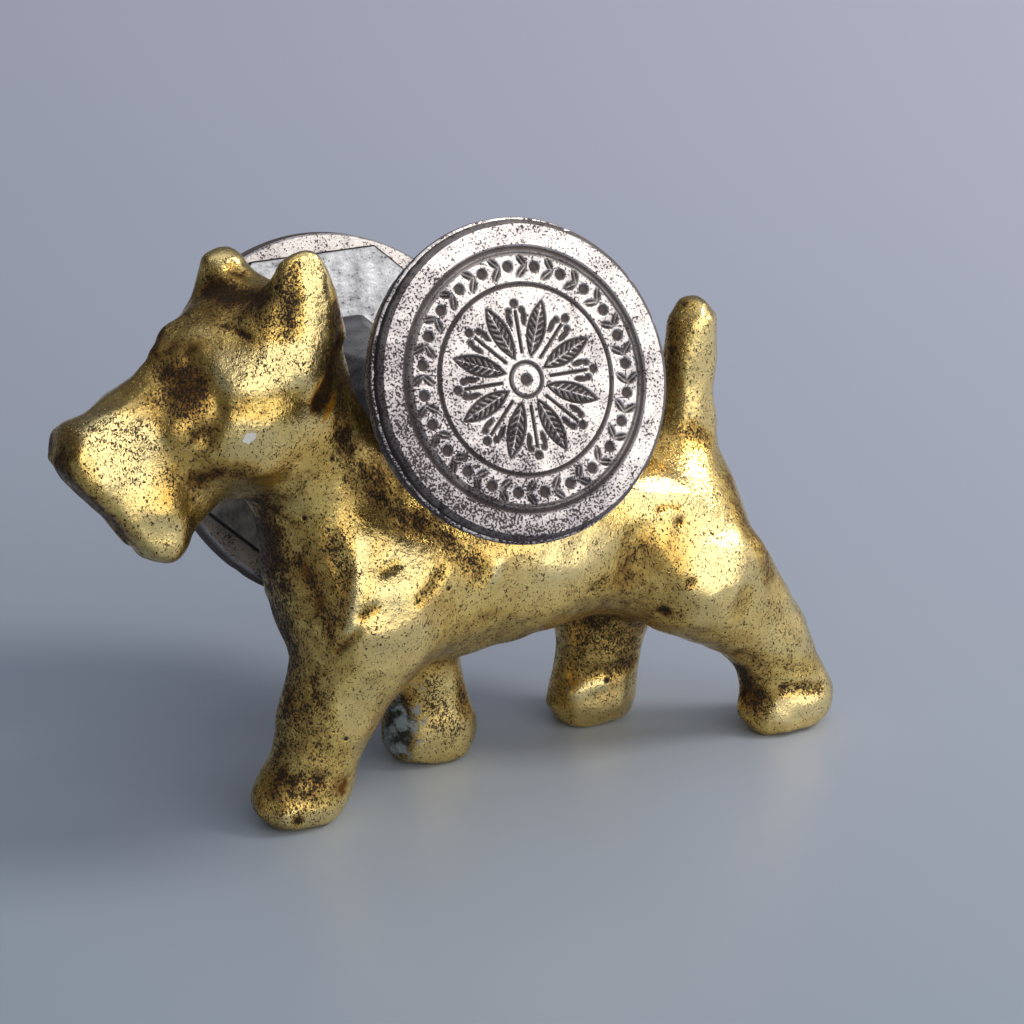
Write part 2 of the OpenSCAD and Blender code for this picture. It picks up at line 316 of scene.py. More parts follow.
        # Relief: an uneven cast skin with the specks and pits sunk into it
        relief = add("Math", mottle, self.grain_height, operation="MULTIPLY")
        peel = add("MapRange", pit_paint, 0.0, 1.0, *self.peel_height)
        heights = (self.dent_height, peel, -self.speck_depth, -self.pit_depth)
        for form, height in zip((dents, speck, black, pit), heights):
            relief = add("Math", form, height, relief, operation="MULTIPLY_ADD")
        close_surface(add, colour, bare, rough, relief)
        return material


@dataclass(frozen=True)
class WornSteel:
    """Plain carbon steel, finely pitted by damp, with dirt in its cuts, and painted shade on the plates.

    The bare metal gives a soft grey light, the pits a black pepper, and the dirt in the cuts a brown black.
    """

    name: str  # name of the material
    light: str  # colour of the cleanest steel
    dark: str  # colour of the stained steel
    dirt: str = "#1C1718"  # colour of the dirt in cuts and pits, and of painted shade
    stain_mm: float = 2.6  # size of the stained patches
    speck_mm: float = 0.3  # size of the black specks, a little coarser than the real ones so that they show
    dark_at: Range = (0.36, 0.74)  # stain at which the dark colour starts, and covers
    corroded: float = 0.3  # how much corrosion helps the stains
    speckled: float = 0.5  # how dense the specks are, from zero to one
    speck_clumps: float = 0.34  # how much the stains help the specks
    speck_onset: Range = (0.88, 0.68)  # noise at which the thinnest and the densest specks start
    speck_edge: float = 0.07  # how much more noise makes them black
    pepper: float = 0.9  # how black the specks are
    rough: float = 0.42  # roughness of the clean steel
    dirt_rough: float = 0.25  # roughness that dirt adds
    dirt_metallic: float = 0.4  # how much metal shows through the dirt
    grain_height: float = 0.05  # height between the specks, in millimetres
    speck_depth: float = 0.02  # depth of the specks
    rust: tuple[Mark, ...] = ()  # stains of rust

    def material(self) -> bpy.types.Material:
        """Builds the node material.

        Returns:
            The material, which reads the dirt and corrosion painted on a piece, where it has any; on the
            plates these also carry painted shade.
        """
        material, add, place = new_material(self.name)
        dirt_and_shade_paint = add("Attribute", attribute_name="dirt").outputs["Fac"]
        corrosion = add("Attribute", attribute_name="corrosion").outputs["Fac"]
        stain = add("TexNoise", place, Scale=1 / self.stain_mm, Detail=4.0, Roughness=0.6)
        speck = add("TexNoise", place, Scale=1 / self.speck_mm, Detail=2.0, Roughness=0.5)
        # Stains and specks both gather where the steel is corroded, and where painted shade is laid on as
        # corrosion
        patch = add("Math", corrosion, self.corroded, stain, operation="MULTIPLY_ADD")
        density = add("Math", patch, self.speck_clumps, speck, operation="MULTIPLY_ADD")
        onset = float(np.interp(self.speckled, (0, 1), self.speck_onset))
        black = add("MapRange", density, onset, onset + self.speck_edge, 0.0, self.pepper)
        # Specks, dirt and painted shade all darken the steel
        fouled_and_shaded = add("Math", black, dirt_and_shade_paint, operation="MAXIMUM", use_clamp=True)
        colour = linear(self.light)
        for share, layer in ((add("MapRange", patch, *self.dark_at), self.dark), (fouled_and_shaded, self.dirt)):
            colour = add("Mix", share, colour, linear(layer), data_type="RGBA")
        for mark in self.rust:
            colour, _ = mark.over(add, place, stain, colour)
        bare = add("MapRange", fouled_and_shaded, 0.0, 1.0, 1.0, self.dirt_metallic)
        rough = add("Math", fouled_and_shaded, self.dirt_rough, self.rough, operation="MULTIPLY_ADD")
        grain = add("Math", speck, self.grain_height, operation="MULTIPLY")
        relief = add("Math", black, -self.speck_depth, grain, operation="MULTIPLY_ADD")
        close_surface(add, colour, bare, rough, relief)
        return material


@dataclass(frozen=True)
class StudioPaper:
    """Satin blue-grey background paper, with painted light that makes it a little lighter towards the far
    right.
    """

    near: str = "#96A5B5"  # colour in front of the object
    far: str = "#E2E7FF"  # colour behind it
    way: Point = (0.87, 0.48, 0.0)  # the way in which the colour changes
    reach: Range = (-100.0, 420.0)  # where the change starts and ends along that way, in millimetres
    rough: float = 0.4  # its roughness

    def material(self) -> bpy.types.Material:
        """Builds the node material.

        Returns:
            The material of the floor.
        """
        material, add, place = new_material("satin background paper")
        along = add("VectorMath", place, self.way, operation="DOT_PRODUCT")
        back = add("MapRange", along, *self.reach)
        # Painted light: the paper grows lighter along that way
        colour = add("Mix", back, linear(self.near), linear(self.far), data_type="RGBA")
        add("OutputMaterial", add("BsdfPrincipled", colour, Roughness=self.rough))
        return material


def select_only(obj: bpy.types.Object) -> None:
    """Deselects everything else and makes one object active.

    Args:
        obj: the object to work on.
    """
    bpy.ops.object.select_all(action="DESELECT")
    obj.select_set(True)
    bpy.context.view_layer.objects.active = obj


def apply_modifier(obj: bpy.types.Object, kind: str, **settings) -> None:
    """Adds a modifier and applies it.

    Args:
        obj: the piece.
        kind: Blender's name of the modifier type.
        settings: properties of the modifier.
    """
    select_only(obj)
    modifier = obj.modifiers.new(kind.lower(), kind)
    for name, value in settings.items():
        setattr(modifier, name, value)
    bpy.ops.object.modifier_apply(modifier=modifier.name)


def close_mesh(obj: bpy.types.Object) -> None:
    """Merges the doubles of a piece and turns its faces outwards.

    Args:
        obj: the piece.
    """
    select_only(obj)
    bpy.ops.object.mode_set(mode="EDIT")
    bpy.ops.mesh.select_all(action="SELECT")
    bpy.ops.mesh.remove_doubles(threshold=WELD)
    bpy.ops.mesh.normals_make_consistent(inside=False)
    bpy.ops.object.mode_set(mode="OBJECT")


def read_vectors(items: bpy.types.bpy_prop_collection, name: str) -> np.ndarray:
    """Reads one vector from each item of a mesh's list.

    Args:
        items: the list.
        name: the name of the vector.

    Returns:
        One row per item.
    """
    flat = np.zeros(len(items) * 3)
    items.foreach_get(name, flat)
    return flat.reshape(-1, 3)


def coordinates(obj: bpy.types.Object) -> np.ndarray:
    """Reads the vertices of a piece, one row per vertex, in millimetres."""
    return read_vectors(obj.data.vertices, "co") / MM


def set_coordinates(obj: bpy.types.Object, points: np.ndarray) -> None:
    """Writes the vertices of a piece, one row per vertex, in millimetres."""
    obj.data.vertices.foreach_set("co", (points * MM).ravel())
    obj.data.update()


def normals(obj: bpy.types.Object) -> np.ndarray:
    """Reads the vertex normals of a piece, one row per vertex."""
    return read_vectors(obj.data.vertex_normals, "vector")


def paint(obj: bpy.types.Object, name: str, amounts: np.ndarray) -> None:
    """Stores one painted amount per vertex for the material to read.

    Args:
        obj: the piece.
        name: the name of the attribute.
        amounts: one value per vertex.
    """
    layer = obj.data.attributes.new(name, "FLOAT", "POINT")
    layer.data.foreach_set("value", amounts.astype(np.float32))


def finish_piece(obj: bpy.types.Object, body: Body, slot: Slot, material: bpy.types.Material,
                 *nodes: str) -> None:
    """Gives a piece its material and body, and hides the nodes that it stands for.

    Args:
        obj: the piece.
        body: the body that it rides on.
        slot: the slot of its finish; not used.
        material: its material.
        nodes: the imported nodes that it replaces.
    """
    obj.data.materials.clear()
    obj.data.materials.append(material)
    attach(obj, body.value)
    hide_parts(*nodes)
    obj.data.calc_loop_triangles()
    LOG.info("%s stands for %s with %d triangles", obj.name, ", ".join(nodes), len(obj.data.loop_triangles))


def ramp(values: np.ndarray, start: float, end: float) -> np.ndarray:
    """Turns values into shares.

    Args:
        values: the values.
        start: the value that gives zero.
        end: the value that gives one, which may be the lower of the two.

    Returns:
        The shares, from zero to one.
    """
    return np.clip((values - start) / (end - start), 0, 1)


def nearest_on_path(points: np.ndarray, path: np.ndarray) -> tuple[np.ndarray, np.ndarray]:
    """Finds the nearest places on a path of straight runs.

    Args:
        points: one row per point.
        path: one row per corner of the path.

    Returns:
        The nearest place on the path for each point, and its distance.
    """
    nearest = np.tile(path[0], (len(points), 1))
    best = np.linalg.norm(points - nearest, axis=1)
    for start, end in zip(path[:-1], path[1:]):
        run = end - start
        place = start + np.clip((points - start) @ run / (run @ run), 0, 1)[:, None] * run
        away = np.linalg.norm(points - place, axis=1)
        nearest[away < best] = place[away < best]
        best = np.minimum(best, away)
    return nearest, best


@dataclass(frozen=True)
class Stroke:
    """One touch of the modelling tool and of the patina brush on the terrier's skin."""

    path: tuple[Point, ...]  # corners of the stroke, in millimetres
    reach: float  # distance at which it fades out, in millimetres
    lift: float = 0.0  # height that it adds to the skin in millimetres, less than zero for a furrow
    patina: float = 0.0  # brown that it adds, on some strokes painted shade; less than zero where the brass is rubbed bright, partly a painted highlight
    pits: float = 0.0  # black pitting that it adds
    both_sides: bool = False  # whether the other side of the body gets it too


@dataclass(frozen=True)
class Facet:
    """One plane that the modeller pressed into the terrier's skin."""

    path: tuple[Point, ...]  # places along the middle of the plane, in millimetres
    facing: Point  # the way that it faces
    reach: float  # distance from the path at which it ends, in millimetres
    force: float  # how far the skin is brought to it, from zero to one
    both_sides: bool = True  # whether the other side of the body gets it too
    shave: bool = False  # whether it only takes off what stands outside it


@dataclass(frozen=True)
class Film:
    """What settles on the skin by its form alone, before any stroke, with painted shade on what faces down
    and forwards.
    """

    base: float  # amount everywhere
    hollow: float  # amount for each millimetre that a place lies below its surroundings
    depths: Range  # least and greatest depth that count, in millimetres
    below: float  # painted shade on what faces down
    front: float  # amount on what faces forwards: patina where no hand rubs, and painted shade
    front_at: Range = (0.3, 0.9)  # lean to the front at which that starts, and is full

    def amounts(self, depth: np.ndarray, facing: np.ndarray) -> np.ndarray:
        """Works out the film.

        Args:
            depth: how far each vertex lies below its surroundings, in millimetres.
            facing: the vertex normals.

        Returns:
            The amount at each vertex.
        """
        settled = self.base + self.hollow * np.clip(depth, *self.depths)
        # Painted shade on what faces down, and patina with painted shade on what faces forwards
        settled = settled + self.below * ramp(-facing[:, 2], 0, 1)
        return settled + self.front * ramp(-facing[:, 0], *self.front_at)


FACETS = (
    # Muzzle
    Facet(((-36.8, -5.7, 41.4), (-34.4, -6.7, 37.8), (-33.4, -7.5, 34.2), (-32.8, -8.0, 31.8)),
          (-0.06, -0.97, 0.24), 5.0, 0.85),
    Facet(((-34.2, -5.5, 42.4), (-33.0, -6.45, 39.4), (-32.4, -7.15, 36.6)), (-0.12, -0.94, 0.32), 3.4, 0.9),
    Facet(((-36.9, -5.2, 42.6), (-34.6, -5.05, 43.4), (-31.8, -4.85, 44.6)), (-0.14, -0.88, 0.45), 2.6, 0.8),
    # Forehead and near ear
    Facet(((-25.5, -4.5, 51.3), (-23.0, -4.5, 52.6)), (-0.55, -0.35, 0.75), 2.8, 0.5),
    Facet(((-17.4, -8.3, 57.0), (-17.1, -9.0, 53.6), (-17.2, -9.9, 49.8), (-17.8, -10.4, 47.4)),
          (-0.16, -0.94, 0.24), 3.2, 1.0, False),
    # Chest, shoulder, flank and haunch
    Facet(((-18.9, -5.6, 31.5), (-18.2, -7.2, 27.4), (-17.2, -8.9, 22.8), (-16.9, -9.6, 19.5)),
          (-0.84, -0.52, 0.12), 3.2, 0.6),
    Facet(((-12.4, -9.9, 30.0), (-11.6, -11.6, 25.2), (-11.4, -12.2, 22.6)), (-0.12, -0.94, 0.32), 4.2, 0.8),
    Facet(((-13.8, -12.0, 18.4), (-9.0, -12.6, 20.0)), (-0.12, -0.98, -0.12), 2.2, 0.7),
    Facet(((6.8, -11.4, 24.7), (11.6, -10.8, 25.4)), (0.05, -0.97, 0.22), 2.6, 0.5),
    Facet(((18.5, -9.4, 28.0), (22.0, -11.2, 24.0), (24.0, -12.2, 21.8)), (0.0, -0.91, 0.41), 5.5, 0.6),
    Facet(((27.0, -12.5, 17.0), (30.5, -11.5, 13.4)), (0.15, -0.98, -0.08), 2.4, 0.6, False),
    # Bridge and front of the muzzle, which are shaved last
    Facet(((-30.6, 1.1, 47.3), (-34.5, 1.1, 44.2)), (-0.56, 0.44, 0.70), 6.0, 1.0, False, True),
    Facet(((-34.4, 1.1, 44.2), (-40.2, 0.1, 41.9)), (-0.40, 0.42, 0.81), 6.0, 1.0, False, True),
    Facet(((-40.9, -2.0, 39.0), (-35.9, -3.0, 32.5)), (-0.79, 0.05, -0.61), 6.0, 1.0, True, True),
)

HEAD_STROKES = (
    # Fullness of the bridge, the back of the ear and the corner of the beard
    Stroke(((-31.0, -0.6, 47.2), (-30.2, -0.8, 48.9), (-28.6, 0.4, 50.0)), 2.6, 0.45),
    Stroke(((-15.4, -7.6, 55.0), (-15.0, -7.6, 52.2), (-14.8, -7.6, 49.8)), 2.4, 0.65),
    Stroke(((-31.2, -6.0, 30.4), (-30.4, -4.6, 30.4)), 2.4, 0.55, 0.0, 0.0, True),
    # Dark edges: patina and painted shade on the front of the muzzle, painted shade on the back edge of the
    # ear
    Stroke(((-40.6, -3.5, 40.0), (-38.8, -5.0, 36.5), (-35.9, -5.1, 32.9)), 2.4, 0.0, 0.75, 0.3, True),
    Stroke(((-15.4, -8.7, 55.2), (-15.4, -9.1, 51.6)), 1.3, -0.1, 1.2, 0.3),
    Stroke(((-15.4, -9.1, 51.6), (-16.2, -9.6, 47.5), (-17.2, -9.2, 44.0)), 2.0, -0.1, 1.3, 0.4),
    # Eye, and the fold behind it
    Stroke(((-30.5, -3.9, 47.1), (-29.6, -4.9, 46.7), (-28.8, -6.3, 46.0)), 2.1, -0.35, 0.75, 1.1, True),
    Stroke(((-30.6, -5.4, 45.0), (-29.2, -6.6, 44.4)), 2.4, 0.0, 0.4, 0.9, True),
    Stroke(((-30.2, -6.8, 42.8), (-28.3, -7.4, 41.8)), 3.0, 0.0, 0.3, 0.3, True),
    Stroke(((-28.5, -5.0, 48.4), (-27.7, -6.7, 46.9), (-27.2, -7.9, 45.2), (-27.5, -8.3, 43.4),
            (-28.4, -8.0, 41.8)), 1.7, -0.5, 0.35, 0.1, True),
    Stroke(((-28.5, -8.0, 41.5), (-29.3, -7.7, 39.6)), 1.8, -0.28, 0.0, 0.0, True),
    # Cheek, brow and forehead
    # Brow rubbed bright, partly a painted highlight
    Stroke(((-25.3, -7.9, 47.3), (-22.2, -8.8, 48.0), (-20.2, -9.1, 48.5)), 3.6, 0.3, -0.4, 0.05, True),
    Stroke(((-25.9, -8.8, 44.7), (-23.3, -9.7, 44.1), (-20.0, -9.9, 44.6)), 1.8, -0.12, 0.3, 0.0, True),
    Stroke(((-30.4, -1.6, 48.4), (-29.3, -2.8, 49.2), (-27.7, -5.0, 49.3)), 1.7, 0.25, 0.5, 0.2, True),
    Stroke(((-27.5, 0.0, 50.6), (-24.2, -1.2, 52.5), (-22.8, -6.3, 52.7)), 4.0, 0.0, 0.3, 0.45),
    # Ears: face, rubbed edge with a painted highlight, painted shade behind the ear and down its root, and
    # the hollow between them
    Stroke(((-19.7, -8.8, 56.6), (-19.7, -9.0, 54.2), (-20.7, -8.9, 51.6)), 2.4, -0.25, 0.6, 0.9),
    Stroke(((-17.3, -8.6, 56.6), (-17.0, -9.1, 53.0), (-17.3, -9.9, 48.8)), 2.0, 0.0, -0.7, -0.6),
    # Painted shade behind the ear, in this stroke and the next
    Stroke(((-15.4, -8.5, 48.9), (-16.2, -8.7, 46.6), (-17.4, -9.3, 44.1)), 1.5, -0.3, 0.75, 0.3, True),
    Stroke(((-14.7, -7.7, 47.1), (-14.5, -8.2, 43.5), (-14.0, -8.0, 39.3)), 2.2, -0.1, 0.55, 0.7, True),
    Stroke(((-21.5, 1.1, 54.6), (-20.6, 0.2, 53.6)), 1.0, -0.45, 0.8, 0.7),
    Stroke(((-23.9, 1.7, 53.1), (-22.6, -2.2, 53.3), (-21.6, -6.2, 54.2)), 2.2, -0.3, 0.6, 0.95),
    Stroke(((-25.0, -5.2, 51.2), (-24.2, -6.5, 50.8), (-23.4, -7.5, 50.4)), 0.5, -0.18, 0.6, 0.6),
    # Muzzle, mouth and throat
    # Side of the muzzle rubbed bright, partly a painted highlight, in this stroke and the next
    Stroke(((-37.3, -4.8, 42.8), (-34.1, -6.4, 41.8)), 3.0, 0.0, -0.3, 0.5, True),
    Stroke(((-36.3, -7.0, 39.5), (-32.3, -6.5, 37.7)), 3.0, 0.0, -0.3, 0.15, True),
    # Patina and painted shade on the front of the muzzle
    Stroke(((-40.2, -1.5, 40.5), (-39.0, -1.5, 36.5), (-36.5, -1.5, 32.5), (-34.0, -1.5, 29.8)),
           5.0, 0.0, 0.5, 0.2),
    Stroke(((-36.0, -1.5, 31.6), (-33.0, -1.5, 29.2), (-30.5, -1.5, 29.5)), 1.8, -1.0, 0.6, 0.3),
    Stroke(((-32.0, -6.2, 36.5), (-31.2, -6.4, 37.2)), 0.8, -0.25, 0.6, 0.5),
    Stroke(((-28.4, -6.6, 37.1), (-26.5, -8.1, 38.3), (-24.3, -8.8, 37.9)), 1.6, 0.0, 0.6, 0.5, True),
)

TRUNK_STROKES = (
    # Fullness of the thigh and the belly
    Stroke(((29.9, -9.8, 21.0), (31.9, -9.0, 18.2), (33.2, -8.7, 16.0)), 3.2, 0.75),
    Stroke(((-1.5, -6.0, 15.2), (3.5, -5.5, 15.8)), 3.6, 0.5),
    # Neck, chest and the front of the shoulder
    # Painted shadow that the die casts on the neck, in this stroke and the next
    Stroke(((-14.9, -8.2, 39.4), (-13.4, -8.1, 36.2), (-11.2, -7.8, 34.7)), 2.6, 0.0, 0.35, 0.5, True),
    Stroke(((-11.2, -7.8, 34.7), (-9.4, -8.4, 32.1), (-7.3, -9.4, 30.1), (-4.8, -9.7, 29.2)),
           2.4, 0.0, 0.35, 0.55, True),
    Stroke(((-21.5, -4.7, 33.4), (-20.4, -3.2, 29.7), (-19.7, -3.2, 26.5)), 3.2, 0.0, 0.35, 0.55, True),
    Stroke(((-20.1, -2.5, 28.4), (-19.6, -2.9, 24.4), (-18.8, -3.1, 19.1), (-19.3, -5.1, 14.7)),
           3.6, 0.0, 0.28, 0.65, True),
    Stroke(((-18.5, -6.4, 27.4), (-17.6, -7.9, 24.7), (-17.3, -8.6, 23.0), (-17.0, -9.6, 20.8)),
           1.4, -0.15, 0.35, 0.6, True),
    Stroke(((-15.8, -8.6, 29.7), (-15.3, -9.5, 26.9), (-16.2, -10.3, 22.3)), 1.8, 0.0, 0.3, 0.6, True),
    # Bright ridge of the shoulder, partly a painted highlight
    Stroke(((-13.4, -9.5, 29.6), (-14.3, -10.4, 26.0), (-15.4, -11.2, 21.6)), 1.2, 0.2, -0.5, -0.2, True),
    # Dents and gouges of the shoulder
    Stroke(((-16.6, -10.3, 19.0), (-15.0, -11.6, 21.2)), 0.6, -0.35, 0.8, 0.4),
    Stroke(((-11.8, -11.1, 26.8), (-10.4, -11.1, 27.3)), 0.8, -0.25, 0.5, 0.3),
    Stroke(((-14.6, -11.7, 22.8), (-13.2, -11.8, 23.4)), 0.7, -0.25, 0.6, 0.5),
    Stroke(((-11.8, -8.9, 32.6), (-9.5, -9.5, 31.0), (-6.8, -9.5, 30.0)), 2.2, -0.25, 0.4, 0.4),
    # Raised ridge rubbed bright, partly a painted highlight
    Stroke(((0.4, -11.3, 25.6), (-0.4, -11.2, 24.0)), 0.9, 0.25, -0.3, -0.2),
    Stroke(((-6.1, -11.3, 25.9), (-7.3, -11.9, 24.6), (-8.7, -12.2, 23.6)), 1.0, -0.15, 0.4, 0.55, True),
    Stroke(((-1.8, -11.3, 24.6), (-2.8, -11.0, 26.2), (-4.6, -10.5, 27.9)), 1.8, -0.2, 0.5, 0.8, True),
    # Rubbed places on shoulder, flank and haunch, partly painted highlights
    Stroke(((-11.6, -11.8, 25.0), (-9.1, -11.1, 27.4)), 3.5, 0.0, -0.25, -0.1, True),
    Stroke(((6.8, -11.4, 24.7), (11.6, -10.6, 25.7)), 3.5, 0.0, -0.2, -0.1, True),
    Stroke(((18.1, -8.9, 28.3), (22.9, -8.6, 28.5), (24.2, -12.4, 22.1)), 5.0, 0.0, -0.25, -0.1, True),
    # Dent of the flank, pits of the haunch and the dark edge of the rump
    Stroke(((15.4, -10.3, 21.4), (16.0, -10.4, 23.4), (16.3, -10.3, 25.0)), 2.5, -0.55, 0.5, 0.4, True),
    Stroke(((21.1, -12.1, 20.1),), 0.9, -0.4, 0.8, 1.1),
    Stroke(((10.9, -10.7, 20.3), (12.3, -10.7, 21.2)), 0.9, -0.25, 0.4, 1.0),
    Stroke(((19.3, -10.2, 16.4),), 1.3, -0.35, 0.9, 0.8),
    Stroke(((20.0, -11.1, 22.5),), 0.6, -0.3, 0.9, 1.0),
    Stroke(((20.9, -10.1, 25.9),), 0.7, -0.35, 0.9, 1.0),
    Stroke(((18.8, -9.4, 27.3), (19.8, -9.3, 27.4), (20.8, -9.5, 27.2)), 0.5, -0.3, 0.9, 1.0),
    Stroke(((28.6, -6.6, 28.0), (28.7, -8.6, 25.7), (29.4, -10.5, 22.6), (31.0, -11.2, 18.8)),
           1.9, 0.0, 0.55, 0.35),
    Stroke(((27.0, -12.8, 18.0), (26.6, -12.6, 16.4)), 1.8, -0.25, 0.4, 0.3),
    # Tail and its root
    Stroke(((25.8, -1.6, 45.7), (26.2, -2.5, 45.6)), 1.0, -0.1, 0.5, 0.3),
    Stroke(((24.0, -2.0, 44.0), (24.0, -2.6, 38.0)), 1.8, 0.0, 0.5, 0.3),
    Stroke(((25.2, -4.4, 33.2), (26.8, -4.7, 31.9)), 1.6, -0.1, 0.4, 0.6, True),
)

LEG_STROKES = (
    # Near hind leg
    Stroke(((31.0, -7.2, 2.6), (31.6, -8.6, 1.2), (33.6, -10.2, 0.9)), 2.6, 0.75),
    Stroke(((30.9, -11.4, 15.2), (33.5, -11.1, 11.3)), 2.4, 0.0, 0.1, 0.35),
    Stroke(((28.9, -9.9, 10.1), (32.2, -10.6, 8.6), (37.3, -10.0, 7.4)), 1.8, -0.25, 0.3, 0.3),
    Stroke(((33.6, -10.3, 5.6), (35.8, -10.7, 5.4), (37.7, -10.6, 5.0)), 1.0, -0.3, 0.55, 1.1),
    # Rubbed ledge of the paw, partly a painted highlight
    Stroke(((32.0, -9.2, 3.4), (35.2, -10.7, 3.0), (37.9, -10.7, 3.3)), 1.6, 0.25, -0.4, -0.1),
    Stroke(((30.0, -7.7, 7.4), (30.9, -7.4, 4.9), (31.6, -8.7, 3.9)), 2.2, -0.2, 0.7, 0.9),
    # Near foreleg
    Stroke(((-18.5, -8.9, 12.2), (-18.2, -9.6, 9.6), (-17.6, -9.7, 7.0)), 3.4, 0.0, 0.42, 0.45),
    Stroke(((-18.5, -8.4, 15.8), (-18.1, -8.7, 14.4)), 1.0, -0.15, 0.4, 0.8),
    Stroke(((-20.3, -6.0, 13.0), (-22.2, -6.2, 7.6)), 2.8, 0.0, 0.35, 0.7),
    Stroke(((-22.6, -6.8, 6.4), (-20.8, -8.1, 6.0), (-18.1, -9.6, 5.9)), 1.4, -0.3, 0.4, 0.5),
    # Toe of the paw, rubbed a little bright, partly a painted highlight
    Stroke(((-23.6, -7.2, 2.4), (-20.5, -9.5, 2.0), (-16.6, -9.9, 2.2)), 1.7, 0.25, -0.1, 0.3),
    Stroke(((-22.6, -7.6, 4.6), (-19.6, -9.3, 4.2), (-16.8, -9.7, 4.4)), 2.4, -0.15, 0.6, 0.6),
    Stroke(((-20.5, -9.1, 1.8),), 0.9, -0.4, 1.3, 1.4),
    # Far hind leg
    Stroke(((15.0, 1.8, 10.0), (17.1, -0.8, 11.7), (20.0, -0.9, 9.0)), 3.8, 0.0, 0.28, 0.75),
    Stroke(((14.7, 3.4, 6.4), (17.5, -0.2, 6.7), (20.9, -0.4, 7.1)), 1.5, -0.3, 0.4, 0.5),
    # Rubbed top of the paw, partly a painted highlight
    Stroke(((15.2, 1.0, 4.5), (17.5, -0.2, 5.4)), 1.2, 0.25, -0.6, -0.2),
    # Far foreleg
    Stroke(((-2.6, -1.5, 9.1), (-1.5, -1.4, 6.1), (-0.5, -1.6, 4.4)), 2.8, 0.0, 0.1, 0.7),
    Stroke(((-4.9, 0.6, 8.5), (-4.6, 0.4, 4.0)), 2.2, -0.1, 0.5, 0.7),
    Stroke(((1.6, -0.8, 9.0), (1.5, -0.6, 6.0)), 1.8, 0.0, 0.4, 0.8),
)


